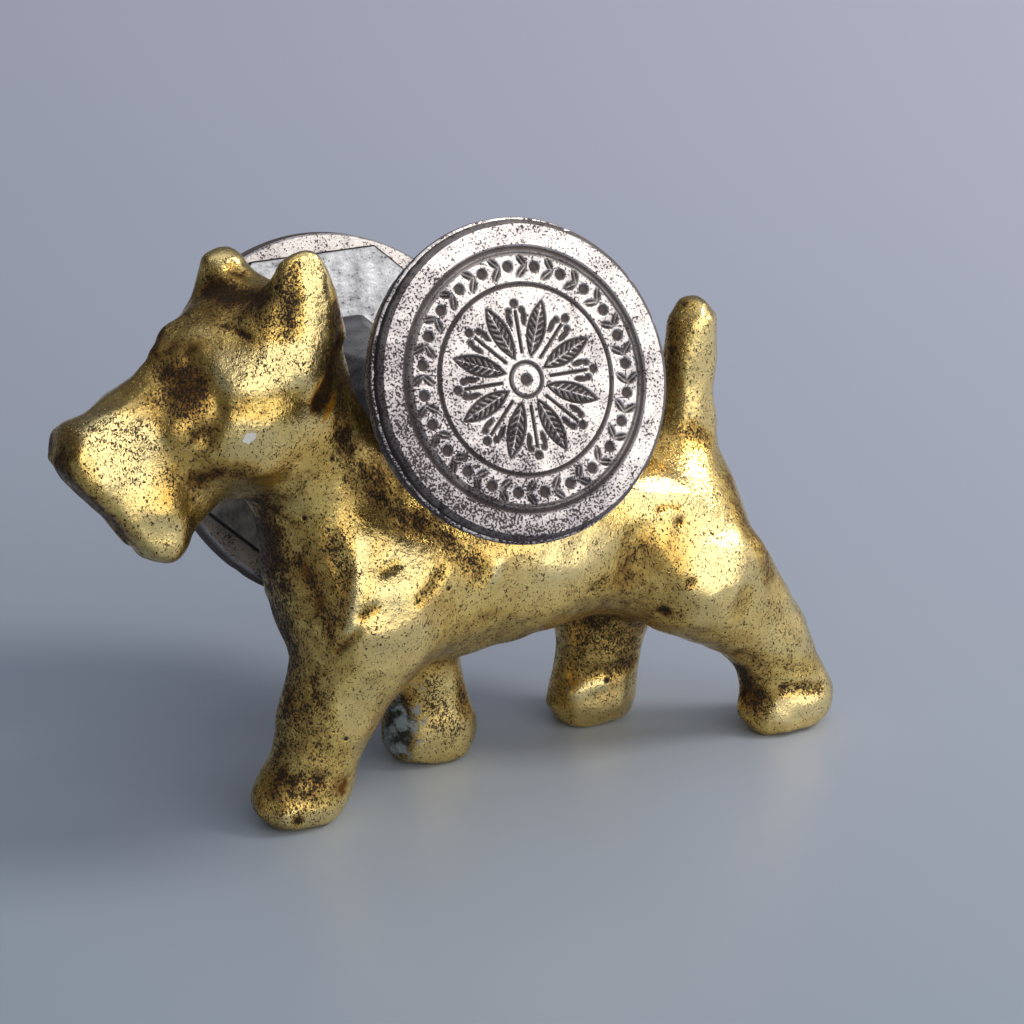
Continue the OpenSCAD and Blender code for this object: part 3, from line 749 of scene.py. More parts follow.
@dataclass
class Terrier:
    """The cast brass dog that carries the seal."""

    brass: CastBrass  # its finish
    middle_y: float = -1.47  # place of its middle plane, in millimetres
    quad_limit: float = 60.0  # greatest bend over which two triangles become one quad, in degrees
    cell_levels: int = 2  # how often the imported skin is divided
    smooth_rounds: int = 4  # how often the divided skin is smoothed
    fill_rounds: int = 12  # how often the fullness that it is given back is evened
    sole_height: float = 0.15  # height below which the paws are flat, in millimetres
    facet_rounds: int = 3  # how often the press of the planes is evened
    facet_core: float = 0.5  # share of a plane's reach that is pressed fully
    facet_turn: Range = (0.25, 0.65)  # cosines between plane and skin at which the press starts, and is full
    uneven: float = 0.0035  # height of the unevenness of the casting, as a share of its wave length
    waves: int = 28  # number of its waves
    wave_mm: Range = (1.8, 9.0)  # shortest and longest of them
    wave_seed: int = 11  # seed of their directions
    hollow_rounds: int = 40  # how often the skin is evened to find its hollows
    stroke_wrap: float = 1.5  # how readily a stroke follows skin that turns away
    most_rubbed_and_highlighted: float = -0.4  # least painted patina, where the brass is rubbed most and a highlight is painted
    patina: Film = Film(0.06, 1.1, (-0.25, 0.5), 0.25, 0.32)  # the patina that settles by form, with painted shade on what faces down and forwards
    pits: Film = Film(0.2, 0.6, (-0.2, 0.6), 0.0, 0.3)  # the pits that settle by form, with more on what faces forwards as painted shade
    facets: tuple[Facet, ...] = FACETS  # planes pressed into its skin
    strokes: tuple[Stroke, ...] = HEAD_STROKES + TRUNK_STROKES + LEG_STROKES  # touches of tool and brush

    def build(self, node: bpy.types.Object) -> None:
        """Models the dog from a copy of its packed skin.

        Args:
            node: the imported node.
        """
        obj = bpy.data.objects.new("terrier_casting", node.data.copy())
        bpy.context.scene.collection.objects.link(obj)
        close_mesh(obj)
        bpy.ops.object.mode_set(mode="EDIT")
        bpy.ops.mesh.select_all(action="SELECT")
        limit = math.radians(self.quad_limit)
        bpy.ops.mesh.tris_convert_to_quads(face_threshold=limit, shape_threshold=limit)
        bpy.ops.object.mode_set(mode="OBJECT")
        apply_modifier(obj, "SUBSURF", levels=self.cell_levels, render_levels=self.cell_levels)
        apply_modifier(obj, "SMOOTH", factor=0.5, iterations=self.smooth_rounds)
        self.fill_out(obj, node)
        points, facing = coordinates(obj), normals(obj)
        depth = np.einsum("ij,ij->i", self.averaged(obj, points, self.hollow_rounds) - points, facing)
        patina, pits = self.patina.amounts(depth, facing), self.pits.amounts(depth, facing)
        points = points + self.averaged(obj, self.press(points, facing) - points, self.facet_rounds)
        points = points + facing * self.casting_skin(points)[:, None]
        self.model(points, facing, patina, pits)
        low, high = (np.array(corner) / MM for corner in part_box("terrier"))
        set_coordinates(obj, np.clip(points, low, high))
        # Painted patina, which also holds painted shade and, below zero, painted highlights
        paint(obj, "patina", np.clip(patina, self.most_rubbed_and_highlighted, 1))
        paint(obj, "pits", np.clip(pits, 0, 1))
        select_only(obj)
        bpy.ops.object.shade_smooth()
        finish_piece(obj, Body.TERRIER, Slot.BRASS, self.brass.material(), "terrier")

    def sides(self, both: bool) -> list[tuple[np.ndarray, np.ndarray]]:
        """Lists the sides of the body that get a touch.

        Args:
            both: whether the other side gets it too.

        Returns:
            For each side, the factor that flips a path to it and the shift that follows.
        """
        signs = (1, -1) if both else (1,)
        return [(np.array((1, sign, 1)), np.array((0, self.middle_y * (1 - sign), 0))) for sign in signs]

    def averaged(self, obj: bpy.types.Object, values: np.ndarray, rounds: int) -> np.ndarray:
        """Spreads values over the skin, each vertex taking the mean of its neighbours.

        Args:
            obj: the piece.
            values: one column of values per quantity.
            rounds: how often it is done.

        Returns:
            The evened values.
        """
        pairs = np.zeros(len(obj.data.edges) * 2, dtype=np.int64)
        obj.data.edges.foreach_get("vertices", pairs)
        one, two, count = pairs[0::2], pairs[1::2], np.bincount(pairs, minlength=len(values))
        for _ in range(rounds):
            columns = [np.bincount(one, c[two], len(c)) + np.bincount(two, c[one], len(c)) for c in values.T]
            values = np.stack(columns, axis=1) / count[:, None]
        return values

    def fill_out(self, obj: bpy.types.Object, node: bpy.types.Object) -> None:
        """Gives back what the smoothing took from ears, tail and paws.

        Args:
            obj: the smoothed piece.
            node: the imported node.
        """
        tree = BVHTree.FromObject(node, bpy.context.evaluated_depsgraph_get())
        points, facing = coordinates(obj), normals(obj)
        lost = np.zeros((len(points), 1))
        for i, vertex in enumerate(obj.data.vertices):
            place, normal, _, _ = tree.find_nearest(vertex.co)
            lost[i, 0] = (place - vertex.co).dot(normal) / MM
        points = points + facing * self.averaged(obj, lost, self.fill_rounds)
        points[:, 2] = np.where(points[:, 2] < self.sole_height, 0.0, points[:, 2])
        set_coordinates(obj, points)

    def press(self, points: np.ndarray, facing: np.ndarray) -> np.ndarray:
        """Presses the planes into the skin.

        Args:
            points: the vertices, in millimetres.
            facing: the vertex normals.

        Returns:
            The new vertices.
        """
        for facet in self.facets:
            for flip, shift in self.sides(facet.both_sides):
                way = np.array(facet.facing) * flip
                way = way / np.linalg.norm(way)
                place, away = nearest_on_path(points, np.array(facet.path) * flip + shift)
                share = ramp(away, facet.reach, self.facet_core * facet.reach)
                share *= share * (3 - 2 * share) * facet.force
                outside = (points - place) @ way
                if facet.shave:
                    outside = np.maximum(outside, 0)
                else:
                    share *= ramp(facing @ way, *self.facet_turn)
                points = points - np.outer(outside * share, way)
        return points

    def casting_skin(self, points: np.ndarray) -> np.ndarray:
        """Works out the gentle unevenness of the cast skin.

        Args:
            points: the vertices, in millimetres.

        Returns:
            The height to add at each vertex, in millimetres.
        """
        chance = np.random.default_rng(self.wave_seed)
        height = np.zeros(len(points))
        for wave_mm in np.linspace(*self.wave_mm, self.waves):
            way = chance.normal(size=3)
            way *= 2 * math.pi / (wave_mm * np.linalg.norm(way))
            height += self.uneven * wave_mm * np.sin(points @ way + chance.uniform(0, 2 * math.pi))
        return height

    def model(self, points: np.ndarray, facing: np.ndarray, patina: np.ndarray, pits: np.ndarray) -> None:
        """Works the strokes into the skin, and their patina and pits into the painted amounts.

        Args:
            points: the vertices in millimetres, changed in place.
            facing: the vertex normals.
            patina: painted patina, changed in place.
            pits: painted pits, changed in place.
        """
        rest = points.copy()
        for stroke in self.strokes:
            for flip, shift in self.sides(stroke.both_sides):
                _, away = nearest_on_path(rest, np.array(stroke.path) * flip + shift)
                touched = away < stroke.reach
                if not touched.any():
                    continue
                centre = facing[np.argmin(away)]
                weight = (1 - (away[touched] / stroke.reach) ** 2) ** 2
                weight *= np.clip(self.stroke_wrap * (facing[touched] @ centre), 0, 1)
                points[touched] += facing[touched] * (stroke.lift * weight)[:, None]
                patina[touched] += stroke.patina * weight
                pits[touched] += stroke.pits * weight


@dataclass
class SealFrame:
    """Where the seal lies: its middle and the direction of its axis."""

    middle: Vector  # the middle of the seal, in metres
    axis: Vector  # the way to the small die

    @classmethod
    def from_studs(cls) -> "SealFrame":
        """Reads the seal's place from its two packed studs."""
        small, large = ((low + high) / 2 for low, high in (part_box("small_stud"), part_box("large_stud")))
        return cls((small + large) / 2, (small - large).normalized())

    def seat(self, obj: bpy.types.Object, end: End, crease: float) -> None:
        """Moves a piece from the frame of one end, with +Z outwards along the seal, to its place.

        Args:
            obj: the piece.
            end: the end of the seal.
            crease: bend over which its edges stay sharp, in degrees.
        """
        side = Vector((0, 0, 1)).cross(self.axis).normalized()
        rise = self.axis.cross(side)
        turned = Matrix((side * end.value, rise, self.axis * end.value)).transposed().to_4x4()
        turned.translation = self.middle
        obj.data.transform(turned)
        select_only(obj)
        bpy.ops.object.shade_smooth_by_angle(angle=math.radians(crease))


def lathe(name: str, profile: np.ndarray, steps: int) -> bpy.types.Object:
    """Turns a profile about +Z into a closed solid.

    Args:
        name: the name of the piece.
        profile: radius and height of each corner, in millimetres, from axis to axis.
        steps: the number of faces round it.

    Returns:
        The new piece, in its own frame.
    """
    mesh = bpy.data.meshes.new(name)
    corners = [(radius * MM, 0.0, height * MM) for radius, height in profile]
    mesh.from_pydata(corners, [(i, i + 1) for i in range(len(corners) - 1)], [])
    obj = bpy.data.objects.new(name, mesh)
    bpy.context.scene.collection.objects.link(obj)
    apply_modifier(obj, "SCREW", axis="Z", angle=2 * math.pi, steps=steps, render_steps=steps,
                   use_merge_vertices=True, merge_threshold=WELD / 2)
    close_mesh(obj)
    return obj


def octagon(name: str, profile: np.ndarray, bevel: float, segments: int, limit: float) -> bpy.types.Object:
    """Turns a profile into an eight-sided solid that lies on a flat, and rounds its edges.

    Args:
        name: the name of the piece.
        profile: radius to the corners and height of each section, in millimetres.
        bevel: width of the rounding, in millimetres.
        segments: number of faces across it.
        limit: least bend of an edge that is rounded, in degrees.

    Returns:
        The new piece, in its own frame.
    """
    obj = lathe(name, profile, SIDES)
    obj.data.transform(Matrix.Rotation(math.pi / SIDES, 4, "Z"))
    apply_modifier(obj, "BEVEL", width=bevel * MM, segments=segments, limit_method="ANGLE",
                   angle_limit=math.radians(limit))
    return obj


def petal(along: np.ndarray, across: np.ndarray, half_length: float, half_width: float) -> np.ndarray:
    """Measures the distance from a pointed petal.

    Args:
        along: place along the petal, from its middle.
        across: place across it.
        half_length: half its length.
        half_width: half its width.

    Returns:
        The distance outside it, less than zero inside.
    """
    arc = (half_length ** 2 + half_width ** 2) / (2 * half_width)
    return np.hypot(along, np.abs(across) + arc - half_width) - arc


def spokes(x: np.ndarray, y: np.ndarray, count: int, offset: float) -> tuple[np.ndarray, np.ndarray]:
    """Folds a round face into one of equal sectors.

    Args:
        x: place across the face.
        y: place up the face.
        count: the number of sectors.
        offset: the place of the first sector's middle, in sectors.

    Returns:
        The place out along the middle of the nearest sector, and the place across it.
    """
    width = 2 * math.pi / count
    turn = (np.arctan2(y, x) - offset * width + width / 2) % width - width / 2
    away = np.hypot(x, y)
    return away * np.cos(turn), away * np.sin(turn)


@dataclass(frozen=True)
class Engraving:
    """A rosette of petals and sprigs inside a wreath of leaves and berries, between rings.

    Places and sizes are shares of the die's radius. The depth, the slopes, the barbs and the widths of lines
    are in millimetres.
    """

    depth: float = 0.26  # depth of the cuts
    wall: float = 0.16  # width of the slope at the edge of a cut
    # Radius of each ring, and half the width of its line
    rings: tuple[Range, ...] = ((0.8, 0.2), (0.768, 0.08), (0.58, 0.17), (0.105, 0.14))
    dot: float = 0.035  # radius of the dot in the middle
    berries: int = 24  # number of berries in the wreath
    wreath: float = 0.69  # radius of the wreath
    berry: float = 0.033  # radius of a berry
    leaf: Range = (0.05, 0.021)  # half the length and half the width of a leaf
    leaf_out: float = 0.036  # how far a leaf stands from the middle of the wreath
    leaf_slant: Range = (0.64, 0.77)  # cosine and sine of its slant
    leaf_rib: float = 0.06  # half the width of the rib left standing in a leaf
    petals: int = 8  # number of petals in the rosette
    petal_at: float = 0.32  # radius at the middle of a petal
    petal: Range = (0.18, 0.06)  # half the length and half the width of a petal
    petal_line: float = 0.1  # half the width of its outline and of its rib
    barb_pitch: float = 0.62  # distance between its barbs
    barb_slant: float = 0.9  # how far the barbs lean towards its tip
    barb_wave: Range = (0.155, 0.03)  # height of the barbs' wave, and what it is raised by
    stem_at: float = 0.29  # radius at the middle of a sprig's stem
    stem: float = 0.13  # half the length of the stem
    stem_line: float = 0.12  # half its width
    buds: tuple[Point, ...] = ((0.465, 0.0, 0.026), (0.42, 0.045, 0.02))  # places out and aside, and radii
    blade_at: Range = (0.33, 0.05)  # places out and aside of a sprig's blades
    blade: Range = (0.045, 0.018)  # half the length and half the width of a blade
    blade_lean: float = 0.8  # how far the blades lean outwards

    def cut(self, x: np.ndarray, y: np.ndarray, big: float) -> np.ndarray:
        """Works out where the design is cut.

        Args:
            x: place across the face, in millimetres.
            y: place up the face.
            big: radius of the die.

        Returns:
            The share of the depth at each place, from zero to one.
        """
        away = np.hypot(x, y)
        lines = [np.abs(away - ring * big) - half for ring, half in self.rings]
        lines += [away - self.dot * big, *self.wreath_lines(x, y, big), *self.rosette_lines(x, y, big)]
        return ramp(np.min(lines, axis=0), self.wall / 2, -self.wall / 2)

    def wreath_lines(self, x: np.ndarray, y: np.ndarray, big: float) -> list[np.ndarray]:
        """Draws the berries, with a pair of leaves between each two.

        Args:
            x: place across the face, in millimetres.
            y: place up the face.
            big: radius of the die.

        Returns:
            The distances from the cuts.
        """
        out, across = spokes(x, y, self.berries, 0.0)
        lines = [np.hypot(across, out - self.wreath * big) - self.berry * big]
        out, across = spokes(x, y, self.berries, 0.5)
        cosine, sine = self.leaf_slant
        length, width = self.leaf
        for side in (-1, 1):
            rise = side * (out - self.wreath * big - side * self.leaf_out * big)
            along, aside = cosine * across + sine * rise, sine * across - cosine * rise
            leaf = petal(along, aside, length * big, width * big)
            lines.append(np.maximum(leaf, self.leaf_rib - np.abs(aside)))
        return lines

    def rosette_lines(self, x: np.ndarray, y: np.ndarray, big: float) -> list[np.ndarray]:
        """Draws petals cut like feathers, and sprigs between them.

        Args:
            x: place across the face, in millimetres.
            y: place up the face.
            big: radius of the die.

        Returns:
            The distances from the cuts.
        """
        out, across = spokes(x, y, self.petals, 0.5)
        along, aside = out - self.petal_at * big, np.abs(across)
        length, width = self.petal
        body = petal(along, aside, length * big, width * big)
        outline = np.maximum(np.abs(body + self.petal_line) - self.petal_line, body)
        height, raised = self.barb_wave
        barbs = height * np.cos(2 * math.pi * (along - self.barb_slant * aside) / self.barb_pitch) + raised
        feather = np.maximum(np.maximum(body, -barbs), self.petal_line - aside)
        out, across = spokes(x, y, self.petals, 0.0)
        aside = np.abs(across)
        stem = np.maximum(aside - self.stem_line, np.abs(out - self.stem_at * big) - self.stem * big)
        buds = [np.hypot(out - far * big, aside - off * big) - size * big for far, off, size in self.buds]
        far, off, length, width = (share * big for share in self.blade_at + self.blade)
        blade = petal(out - far - self.blade_lean * aside, aside - off, length, width)
        return [outline, feather, stem, *buds, blade]


@dataclass
class Die:
    """A round die with a turned rim and a cut design."""

    end: End  # the end of the seal
    steel: WornSteel  # its finish
    radius: float  # its radius, in millimetres
    thickness: float = 3.3  # its thickness
    face_at: float = 23.5  # distance from the middle of the seal to its face
    play: float = 0.03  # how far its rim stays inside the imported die
    bevel: float = 0.5  # width of the bevel round its face
    bevel_edge: Range = (0.9, 0.03)  # its rounded start: share of its width, and how far down
    bevel_foot: float = 0.8  # depth of its foot, as a share of its width
    wall_height: float = 0.6  # height of the dark wall behind the bevel
    ledge: float = 0.3  # width of the ledge outside that wall
    ledge_start: float = 0.05  # width of the dark line at the foot of that wall
    ledge_edge: tuple[Range, ...] = ((0.1, 0.03), (0.03, 0.08), (0.0, 0.15))  # its round, inwards and down
    lip: float = 0.5  # height of the edge of the ledge
    step: float = 0.3  # how far the rear of the die stands back from that edge
    step_slope: float = 0.25  # height of the slope down to that step
    rear_bevel: float = 0.2  # bevel round the back
    rounds: int = 110  # number of points across the face
    steps: int = 600  # number of points round it
    crease: float = 35.0  # bend over which its edges stay sharp, in degrees
    engraving: Engraving = Engraving()  # the cut design
    nicks: int = 16  # number of nicks in its rim
    nick_width: Range = (0.012, 0.035)  # least and greatest half width of a nick, in radians
    nick_depth: Range = (0.05, 0.2)  # least and greatest depth of a nick
    nick_seed: int = 5  # seed of the nicks
    rub: Range = (0.03, 0.03)  # mean and swing of the even wear of the rim
    cut_dirt: float = 0.93  # dirt in the cuts
    bevel_dirt: Range = (0.65, 0.85)  # dirt at the top and at the foot of the bevel
    lip_dirt: float = 0.9  # dirt on the edge of the ledge
    rear_darkening: Range = (0.15, 0.5)  # darkening of the back, at the middle and low down
    damp_way: Range = (-0.75, -0.66)  # the way across the face to its damp side
    damp: float = 1.3  # corrosion at the edge on that side
    damp_limits: Range = (-0.3, 0.9)  # least and greatest corrosion

    def profile(self) -> np.ndarray:
        """Gives the turned section, from the middle of the face round to the middle of the back.

        Returns:
            Radius and height of each corner, in millimetres.
        """
        top, back, edge = self.face_at, self.face_at - self.thickness, self.radius - self.play
        inset, foot, rear = edge - self.ledge, top - self.bevel - self.wall_height, edge - self.step
        corners = [(r, top) for r in np.linspace(0, inset - self.bevel, self.rounds)]
        start, drop = self.bevel_edge
        corners += [(inset - start * self.bevel, top - drop), (inset, top - self.bevel_foot * self.bevel)]
        corners += [(inset, foot), (inset + self.ledge_start, foot)]
        corners += [(edge - inward, foot - down) for inward, down in self.ledge_edge]
        corners += [(edge, foot - self.lip), (rear, foot - self.lip - self.step_slope)]
        corners += [(rear, back + self.rear_bevel), (rear - self.rear_bevel, back)]
        corners += [(r, back) for r in np.linspace(rear - 2 * self.rear_bevel, 0, 8)]
        return np.array(corners)

    def build(self, frame: SealFrame, node: str) -> None:
        """Turns the die, cuts its design and puts it in its place.

        Args:
            frame: the seal's frame.
            node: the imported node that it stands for.
        """
        obj = lathe(f"{node}_engraved", self.profile(), self.steps)
        points = coordinates(obj)
        away, angle = np.hypot(points[:, 0], points[:, 1]), np.arctan2(points[:, 1], points[:, 0])
        on_face = away < self.radius - self.bevel - self.ledge - 0.05
        on_face &= points[:, 2] > self.face_at - 0.001
        share = np.where(on_face, self.engraving.cut(points[:, 0], points[:, 1], self.radius), 0.0)
        points[:, 2] -= self.engraving.depth * share
        self.wear(points, away, angle)
        set_coordinates(obj, points)
        paint(obj, "dirt", self.dirt(points, away, share))
        paint(obj, "corrosion", self.corrosion(points))
        frame.seat(obj, self.end, self.crease)
        finish_piece(obj, Body.SEAL, Slot.DIE, self.steel.material(), node)

    def wear(self, points: np.ndarray, away: np.ndarray, angle: np.ndarray) -> None:
        """Nicks and wears the rim, always inwards.

        Args:
            points: the vertices in the die's own frame in millimetres, changed in place.
            away: their distance from the axis.
            angle: their angle round it.
        """
        chance = np.random.default_rng(self.nick_seed + self.end.value)
        mean, swing = self.rub
        loss = mean + swing * np.sin(5 * angle + 1) * np.sin(3 * angle)
        for _ in range(self.nicks):
            place, width = chance.uniform(-math.pi, math.pi), chance.uniform(*self.nick_width)
            gap = (angle - place + math.pi) % (2 * math.pi) - math.pi
            loss += chance.uniform(*self.nick_depth) * np.exp(-(gap / width) ** 2)
        share = np.where(away > self.radius - self.bevel - self.ledge, loss / np.maximum(away, 1), 0.0)
        edge = np.abs(points[:, 2] - self.face_at) < self.bevel + 0.01
        points[:, :2] *= (1 - share * np.where(edge, 1.0, 0.4))[:, None]

    def dirt(self, points: np.ndarray, away: np.ndarray, share: np.ndarray) -> np.ndarray:
        """Puts dirt in the cuts, on the bevel and its wall, leaves the ledge bare, and darkens the back more
        towards the bottom.

        Args:
            points: the vertices in the die's own frame, in millimetres.
            away: their distance from the axis before wear.
            share: how deep the design is cut there, from zero to one.

        Returns:
            The dirt, and the darkening of the back, at each vertex.
        """
        sunk = self.face_at - points[:, 2]
        foot = self.bevel + self.wall_height
        amount = self.cut_dirt * np.clip(1.2 * share, 0, 1)
        rim = away > self.radius - self.bevel - self.ledge - 0.02
        amount[rim] = np.interp(sunk[rim], (0, self.bevel), self.bevel_dirt)
        amount[rim & (sunk > self.bevel_foot * self.bevel + 0.01)] = 1.0
        amount[rim & (sunk > foot - 0.01) & (away > self.radius - self.ledge)] = 0.0
        amount[rim & (sunk > foot + 0.1)] = self.lip_dirt
        # The back is darkened, more towards the bottom
        behind = (sunk > self.thickness - 0.25) | (away > self.radius - 0.1)
        behind &= sunk > foot + self.lip + 0.1
        amount[behind] = np.interp(-points[behind, 1], (0, 8), self.rear_darkening)
        return amount

    def corrosion(self, points: np.ndarray) -> np.ndarray:
        """Darkens the lower left of the face, where damp has eaten it.

        Args:
            points: the vertices in the die's own frame, in millimetres.

        Returns:
            The corrosion at each vertex.
        """
        low = points[:, :2] @ np.array(self.damp_way) / self.radius
        edge = np.hypot(points[:, 0], points[:, 1]) / self.radius
        return np.clip(self.damp * low * edge - 0.1, *self.damp_limits)


@dataclass
class BackingPlate:
    """An octagonal steel plate between the grip and a die."""

    end: End  # the end of the seal
    steel: WornSteel  # its finish
    corner_radius: float  # distance from its middle to its corners, in millimetres
    thickness: float = 0.8  # its thickness
    grip_half: float = 19.4  # half the length of the grip
    bevel: float = 0.12  # bevel of its edges
    crease: float = 30.0  # bend over which its edges are bevelled and stay sharp, in degrees
    rounds: int = 12  # number of points across it
    edge_seam_shadow: float = 1.0  # painted shadow along its edge, where it meets the die
    low_shade: float = 0.4  # painted shade low down on it
    low_shade_stains: float = 0.5  # stains and specks added low down on it as painted shade

    def build(self, frame: SealFrame, node: str) -> None:
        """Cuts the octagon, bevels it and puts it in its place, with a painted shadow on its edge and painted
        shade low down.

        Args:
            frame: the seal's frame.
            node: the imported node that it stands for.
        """
        inner, outer = self.grip_half, self.grip_half + self.thickness
        radii = self.corner_radius * np.append(np.linspace(0, 0.985, self.rounds), 1.0)
        profile = np.array([(r, outer) for r in radii] + [(r, inner) for r in radii[::-1]])
        obj = octagon(f"{node}_octagon", profile, self.bevel, 2, self.crease)
        points = coordinates(obj)
        low = ramp(-points[:, 1], 0, 0.6 * self.corner_radius)
        turns = np.arange(SIDES) * 2 * math.pi / SIDES
        out = (points[:, :2] @ np.array((np.cos(turns), np.sin(turns)))).max(axis=1)
        edge = out > 0.99 * self.corner_radius * math.cos(math.pi / SIDES)
        # Painted shadow along the edge where the plate meets the die, and painted shade low down
        paint(obj, "dirt", np.where(edge, self.edge_seam_shadow, self.low_shade * low))
        paint(obj, "corrosion", self.low_shade_stains * low)
        frame.seat(obj, self.end, self.crease)
        finish_piece(obj, Body.SEAL, Slot.PLATE, self.steel.material(), node)


@dataclass
class Grip:
    """The waisted octagonal stem that the fingers hold."""

    steel: WornSteel  # its finish
    half: float = 19.4  # half its length, in millimetres
    waist: float = 8.4  # its width over the flats at the waist
    small_end: float = 15.5  # its width over the flats at the small die
    large_end: float = 20.0  # its width over the flats at the large die
    stations: int = 64  # number of sections along it
    edge: float = 0.45  # rounding of its eight edges
    edge_limit: float = 25.0  # least bend of an edge that is rounded, in degrees
    crease: float = 30.0  # bend over which its edges stay sharp, in degrees
    end_dirt: float = 0.6  # dirt at its two ends
    dirt_at: Range = (0.9, 1.0)  # share of its half length at which that dirt starts, and is thickest
    banding: float = 0.3  # corrosion in bands along it
    band_turn: float = 1.1  # turn of the bands' wave for each millimetre, in radians

    def build(self, frame: SealFrame, node: str) -> None:
        """Turns the eight-sided stem, rounds its edges and puts it in its place, with dirt at its ends.

        Args:
            frame: the seal's frame.
            node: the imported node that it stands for.
        """
        heights = np.linspace(self.half, -self.half, self.stations)
        ends = np.where(heights > 0, self.small_end, self.large_end)
        widths = self.waist + (ends - self.waist) * (heights / self.half) ** 2
        radii = widths / 2 / math.cos(math.pi / SIDES)
        profile = np.array([(0, self.half), *zip(radii, heights), (0, -self.half)])
        obj = octagon(f"{node}_octagon", profile, self.edge, 3, self.edge_limit)
        points = coordinates(obj)
        near_end = np.abs(points[:, 2]) / self.half
        paint(obj, "dirt", self.end_dirt * ramp(near_end, *self.dirt_at))
        paint(obj, "corrosion", self.banding * np.sin(points[:, 2] * self.band_turn) ** 2)
        frame.seat(obj, End.SMALL, self.crease)
        finish_piece(obj, Body.SEAL, Slot.GRIP, self.steel.material(), node)


@dataclass(frozen=True)
class Lamp:
    """A soft lamp that points at the object."""

    name: str  # its name
    place: Point  # where it hangs, in metres
    size: Range  # its width and height, in metres
    power: float  # its power, in watts
    colour: str  # its colour


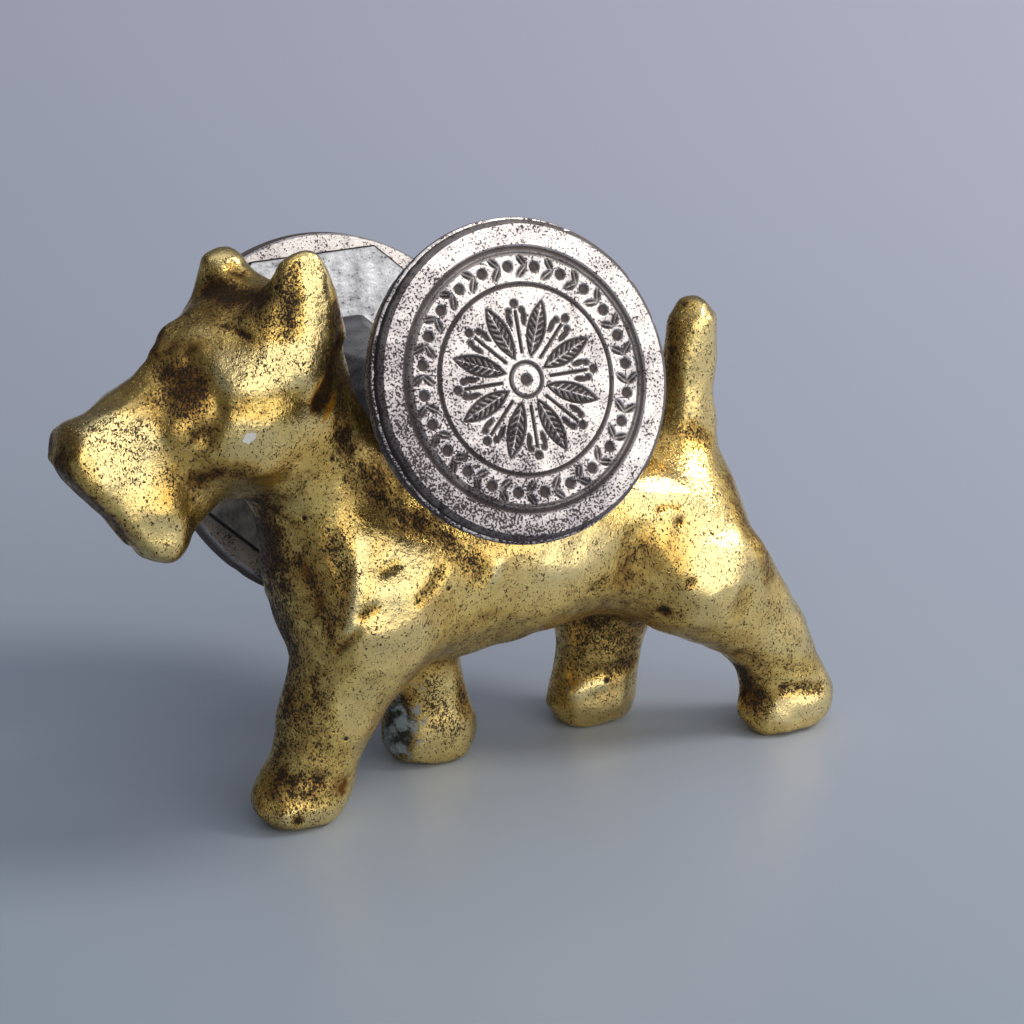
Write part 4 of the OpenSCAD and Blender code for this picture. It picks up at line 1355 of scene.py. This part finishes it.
@dataclass
class Studio:
    """The floor, the lamps and the camera of the picture."""

    paper: StudioPaper  # finish of the floor
    floor_size: float = 8.0  # width of the floor, in metres
    target: Point = (6.0, -2.67, 27.0)  # the point that lamps and camera look at, in millimetres
    azimuth: float = -27.0  # turn of the camera about the object, in degrees
    elevation: float = 20.0  # its height above the floor, in degrees
    distance: float = 330.0  # its distance from the target, in millimetres
    sensor: float = 36.0  # width of its sensor
    lens: float = 117.18  # its focal length
    clip: Range = (0.01, 50.0)  # nearest and farthest that it sees, in metres
    lamps: tuple[Lamp, ...] = (  # the lamps
        Lamp("window", (0.10, -1.02, 0.40), (2.0, 1.1), 7.7, "#FFFAF2"),
        Lamp("card", (0.75, -0.12, 0.30), (0.5, 0.6), 0.5, "#FFF8EC"),
        Lamp("lamp", (0.56, -0.36, 0.66), (0.3, 0.3), 3.4, "#FFF6E8"),
    )
    room: str = "#F2F4FF"  # colour of the room
    bright_side: Point = (0.65, -0.60, 0.40)  # the way to its brighter wall
    walls: Range = (0.05, 0.3)  # light of the dark and of the bright wall
    walls_at: Range = (-0.8, 0.9)  # lean to the bright side at which the walls are dark, and bright
    ceiling: float = 0.6  # light that the ceiling adds
    ceiling_at: Range = (0.78, 0.93)  # rise at which the ceiling starts, and is full

    def build(self) -> None:
        """Makes the floor, the light and the camera."""
        self.floor()
        for lamp in self.lamps:
            self.hang(lamp)
        self.sky()
        self.camera()

    def floor(self) -> None:
        """Lays the paper on which the paws stand."""
        bpy.ops.object.select_all(action="DESELECT")
        bpy.ops.mesh.primitive_plane_add(size=self.floor_size)
        floor = bpy.context.object
        floor.name = "paper_floor"
        floor.data.materials.append(self.paper.material())

    def hang(self, lamp: Lamp) -> None:
        """Hangs a lamp and points it at the object.

        Args:
            lamp: the lamp.
        """
        data = bpy.data.lights.new(lamp.name, "AREA")
        data.shape, data.energy = "ELLIPSE", lamp.power
        data.size, data.size_y = lamp.size
        data.color = linear(lamp.colour)[:3]
        obj = bpy.data.objects.new(lamp.name, data)
        obj.location = lamp.place
        way = Vector(self.target) * MM - Vector(lamp.place)
        obj.rotation_euler = way.to_track_quat("-Z", "Y").to_euler()
        bpy.context.scene.collection.objects.link(obj)

    def sky(self) -> None:
        """Surrounds the object with a room that is bright overhead and on the right, and dark on the left."""
        world = bpy.data.worlds.new("studio_room")
        world.use_nodes = True
        world.node_tree.nodes.clear()
        add = partial(add_node, world.node_tree)
        way = add("TexCoord").outputs["Generated"]
        lean = add("VectorMath", way, self.bright_side, operation="DOT_PRODUCT")
        walls = add("MapRange", lean, *self.walls_at, *self.walls)
        rise = add("SeparateXYZ", way).outputs["Z"]
        ceiling = add("MapRange", rise, *self.ceiling_at, 0.0, self.ceiling)
        back = add("Background", linear(self.room), add("Math", walls, ceiling))
        add("OutputWorld", back)
        bpy.context.scene.world = world

    def camera(self) -> None:
        """Sets the camera at the angle of the photograph."""
        turn, rise = math.radians(self.azimuth), math.radians(self.elevation)
        away = Vector((math.sin(turn) * math.cos(rise), -math.cos(turn) * math.cos(rise), math.sin(rise)))
        data = bpy.data.cameras.new("picture_camera")
        data.lens, data.sensor_width = self.lens, self.sensor
        data.clip_start, data.clip_end = self.clip
        camera = bpy.data.objects.new("picture_camera", data)
        camera.location = Vector(self.target) * MM + away * self.distance * MM
        camera.rotation_euler = (-away).to_track_quat("-Z", "Y").to_euler()
        bpy.context.scene.collection.objects.link(camera)
        bpy.context.scene.camera = camera


def dress_studs(nodes: dict[str, bpy.types.Object], steel: WornSteel) -> None:
    """Gives the two hidden studs their steel.

    Args:
        nodes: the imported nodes.
        steel: their finish.
    """
    material = steel.material()
    for name in ("small_stud", "large_stud"):
        nodes[name].data.materials.clear()
        nodes[name].data.materials.append(material)
        LOG.info("%s keeps its packed form", name)


def main() -> None:
    """Builds the studio and dresses every piece of the part."""
    logging.basicConfig(level=logging.INFO, format="%(message)s")
    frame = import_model()
    bpy.context.scene.view_settings.view_transform = "Standard"
    Studio(StudioPaper()).build()
    rust = Mark((-9.3, -21.3, 35.8), (0.8, 0.8, 0.7), "#5F3420", 0.8, 0.4)
    die_steel = WornSteel("engraved carbon steel, pitted", "#E4DFDE", "#A6A1A7", dirt="#2E211F", speck_mm=0.2,
                          speckled=0.85, pepper=0.95, rough=0.36, rust=(rust,))
    plate_steel = WornSteel("rolled carbon steel, dull", "#CDD0D6", "#7A7D85", stain_mm=1.6, speckled=0.35,
                            pepper=0.6, rough=0.45)
    grip_steel = WornSteel("filed carbon steel, darkened", "#77787D", "#3D3D41", stain_mm=3.0, speckled=0.4)
    stud_steel = WornSteel("drawn steel rod", "#A5A6AA", "#77787C", speckled=0.2)
    seal = SealFrame.from_studs()
    Terrier(CastBrass()).build(frame["nodes"]["terrier"])
    Die(End.SMALL, die_steel, 15.0).build(seal, "small_die")
    Die(End.LARGE, die_steel, 19.1).build(seal, "large_die")
    BackingPlate(End.SMALL, plate_steel, 14.0).build(seal, "small_plate")
    BackingPlate(End.LARGE, plate_steel, 18.1).build(seal, "large_plate")
    Grip(grip_steel).build(seal, "grip")
    dress_studs(frame["nodes"], stud_steel)


if __name__ == "__main__":
    main()
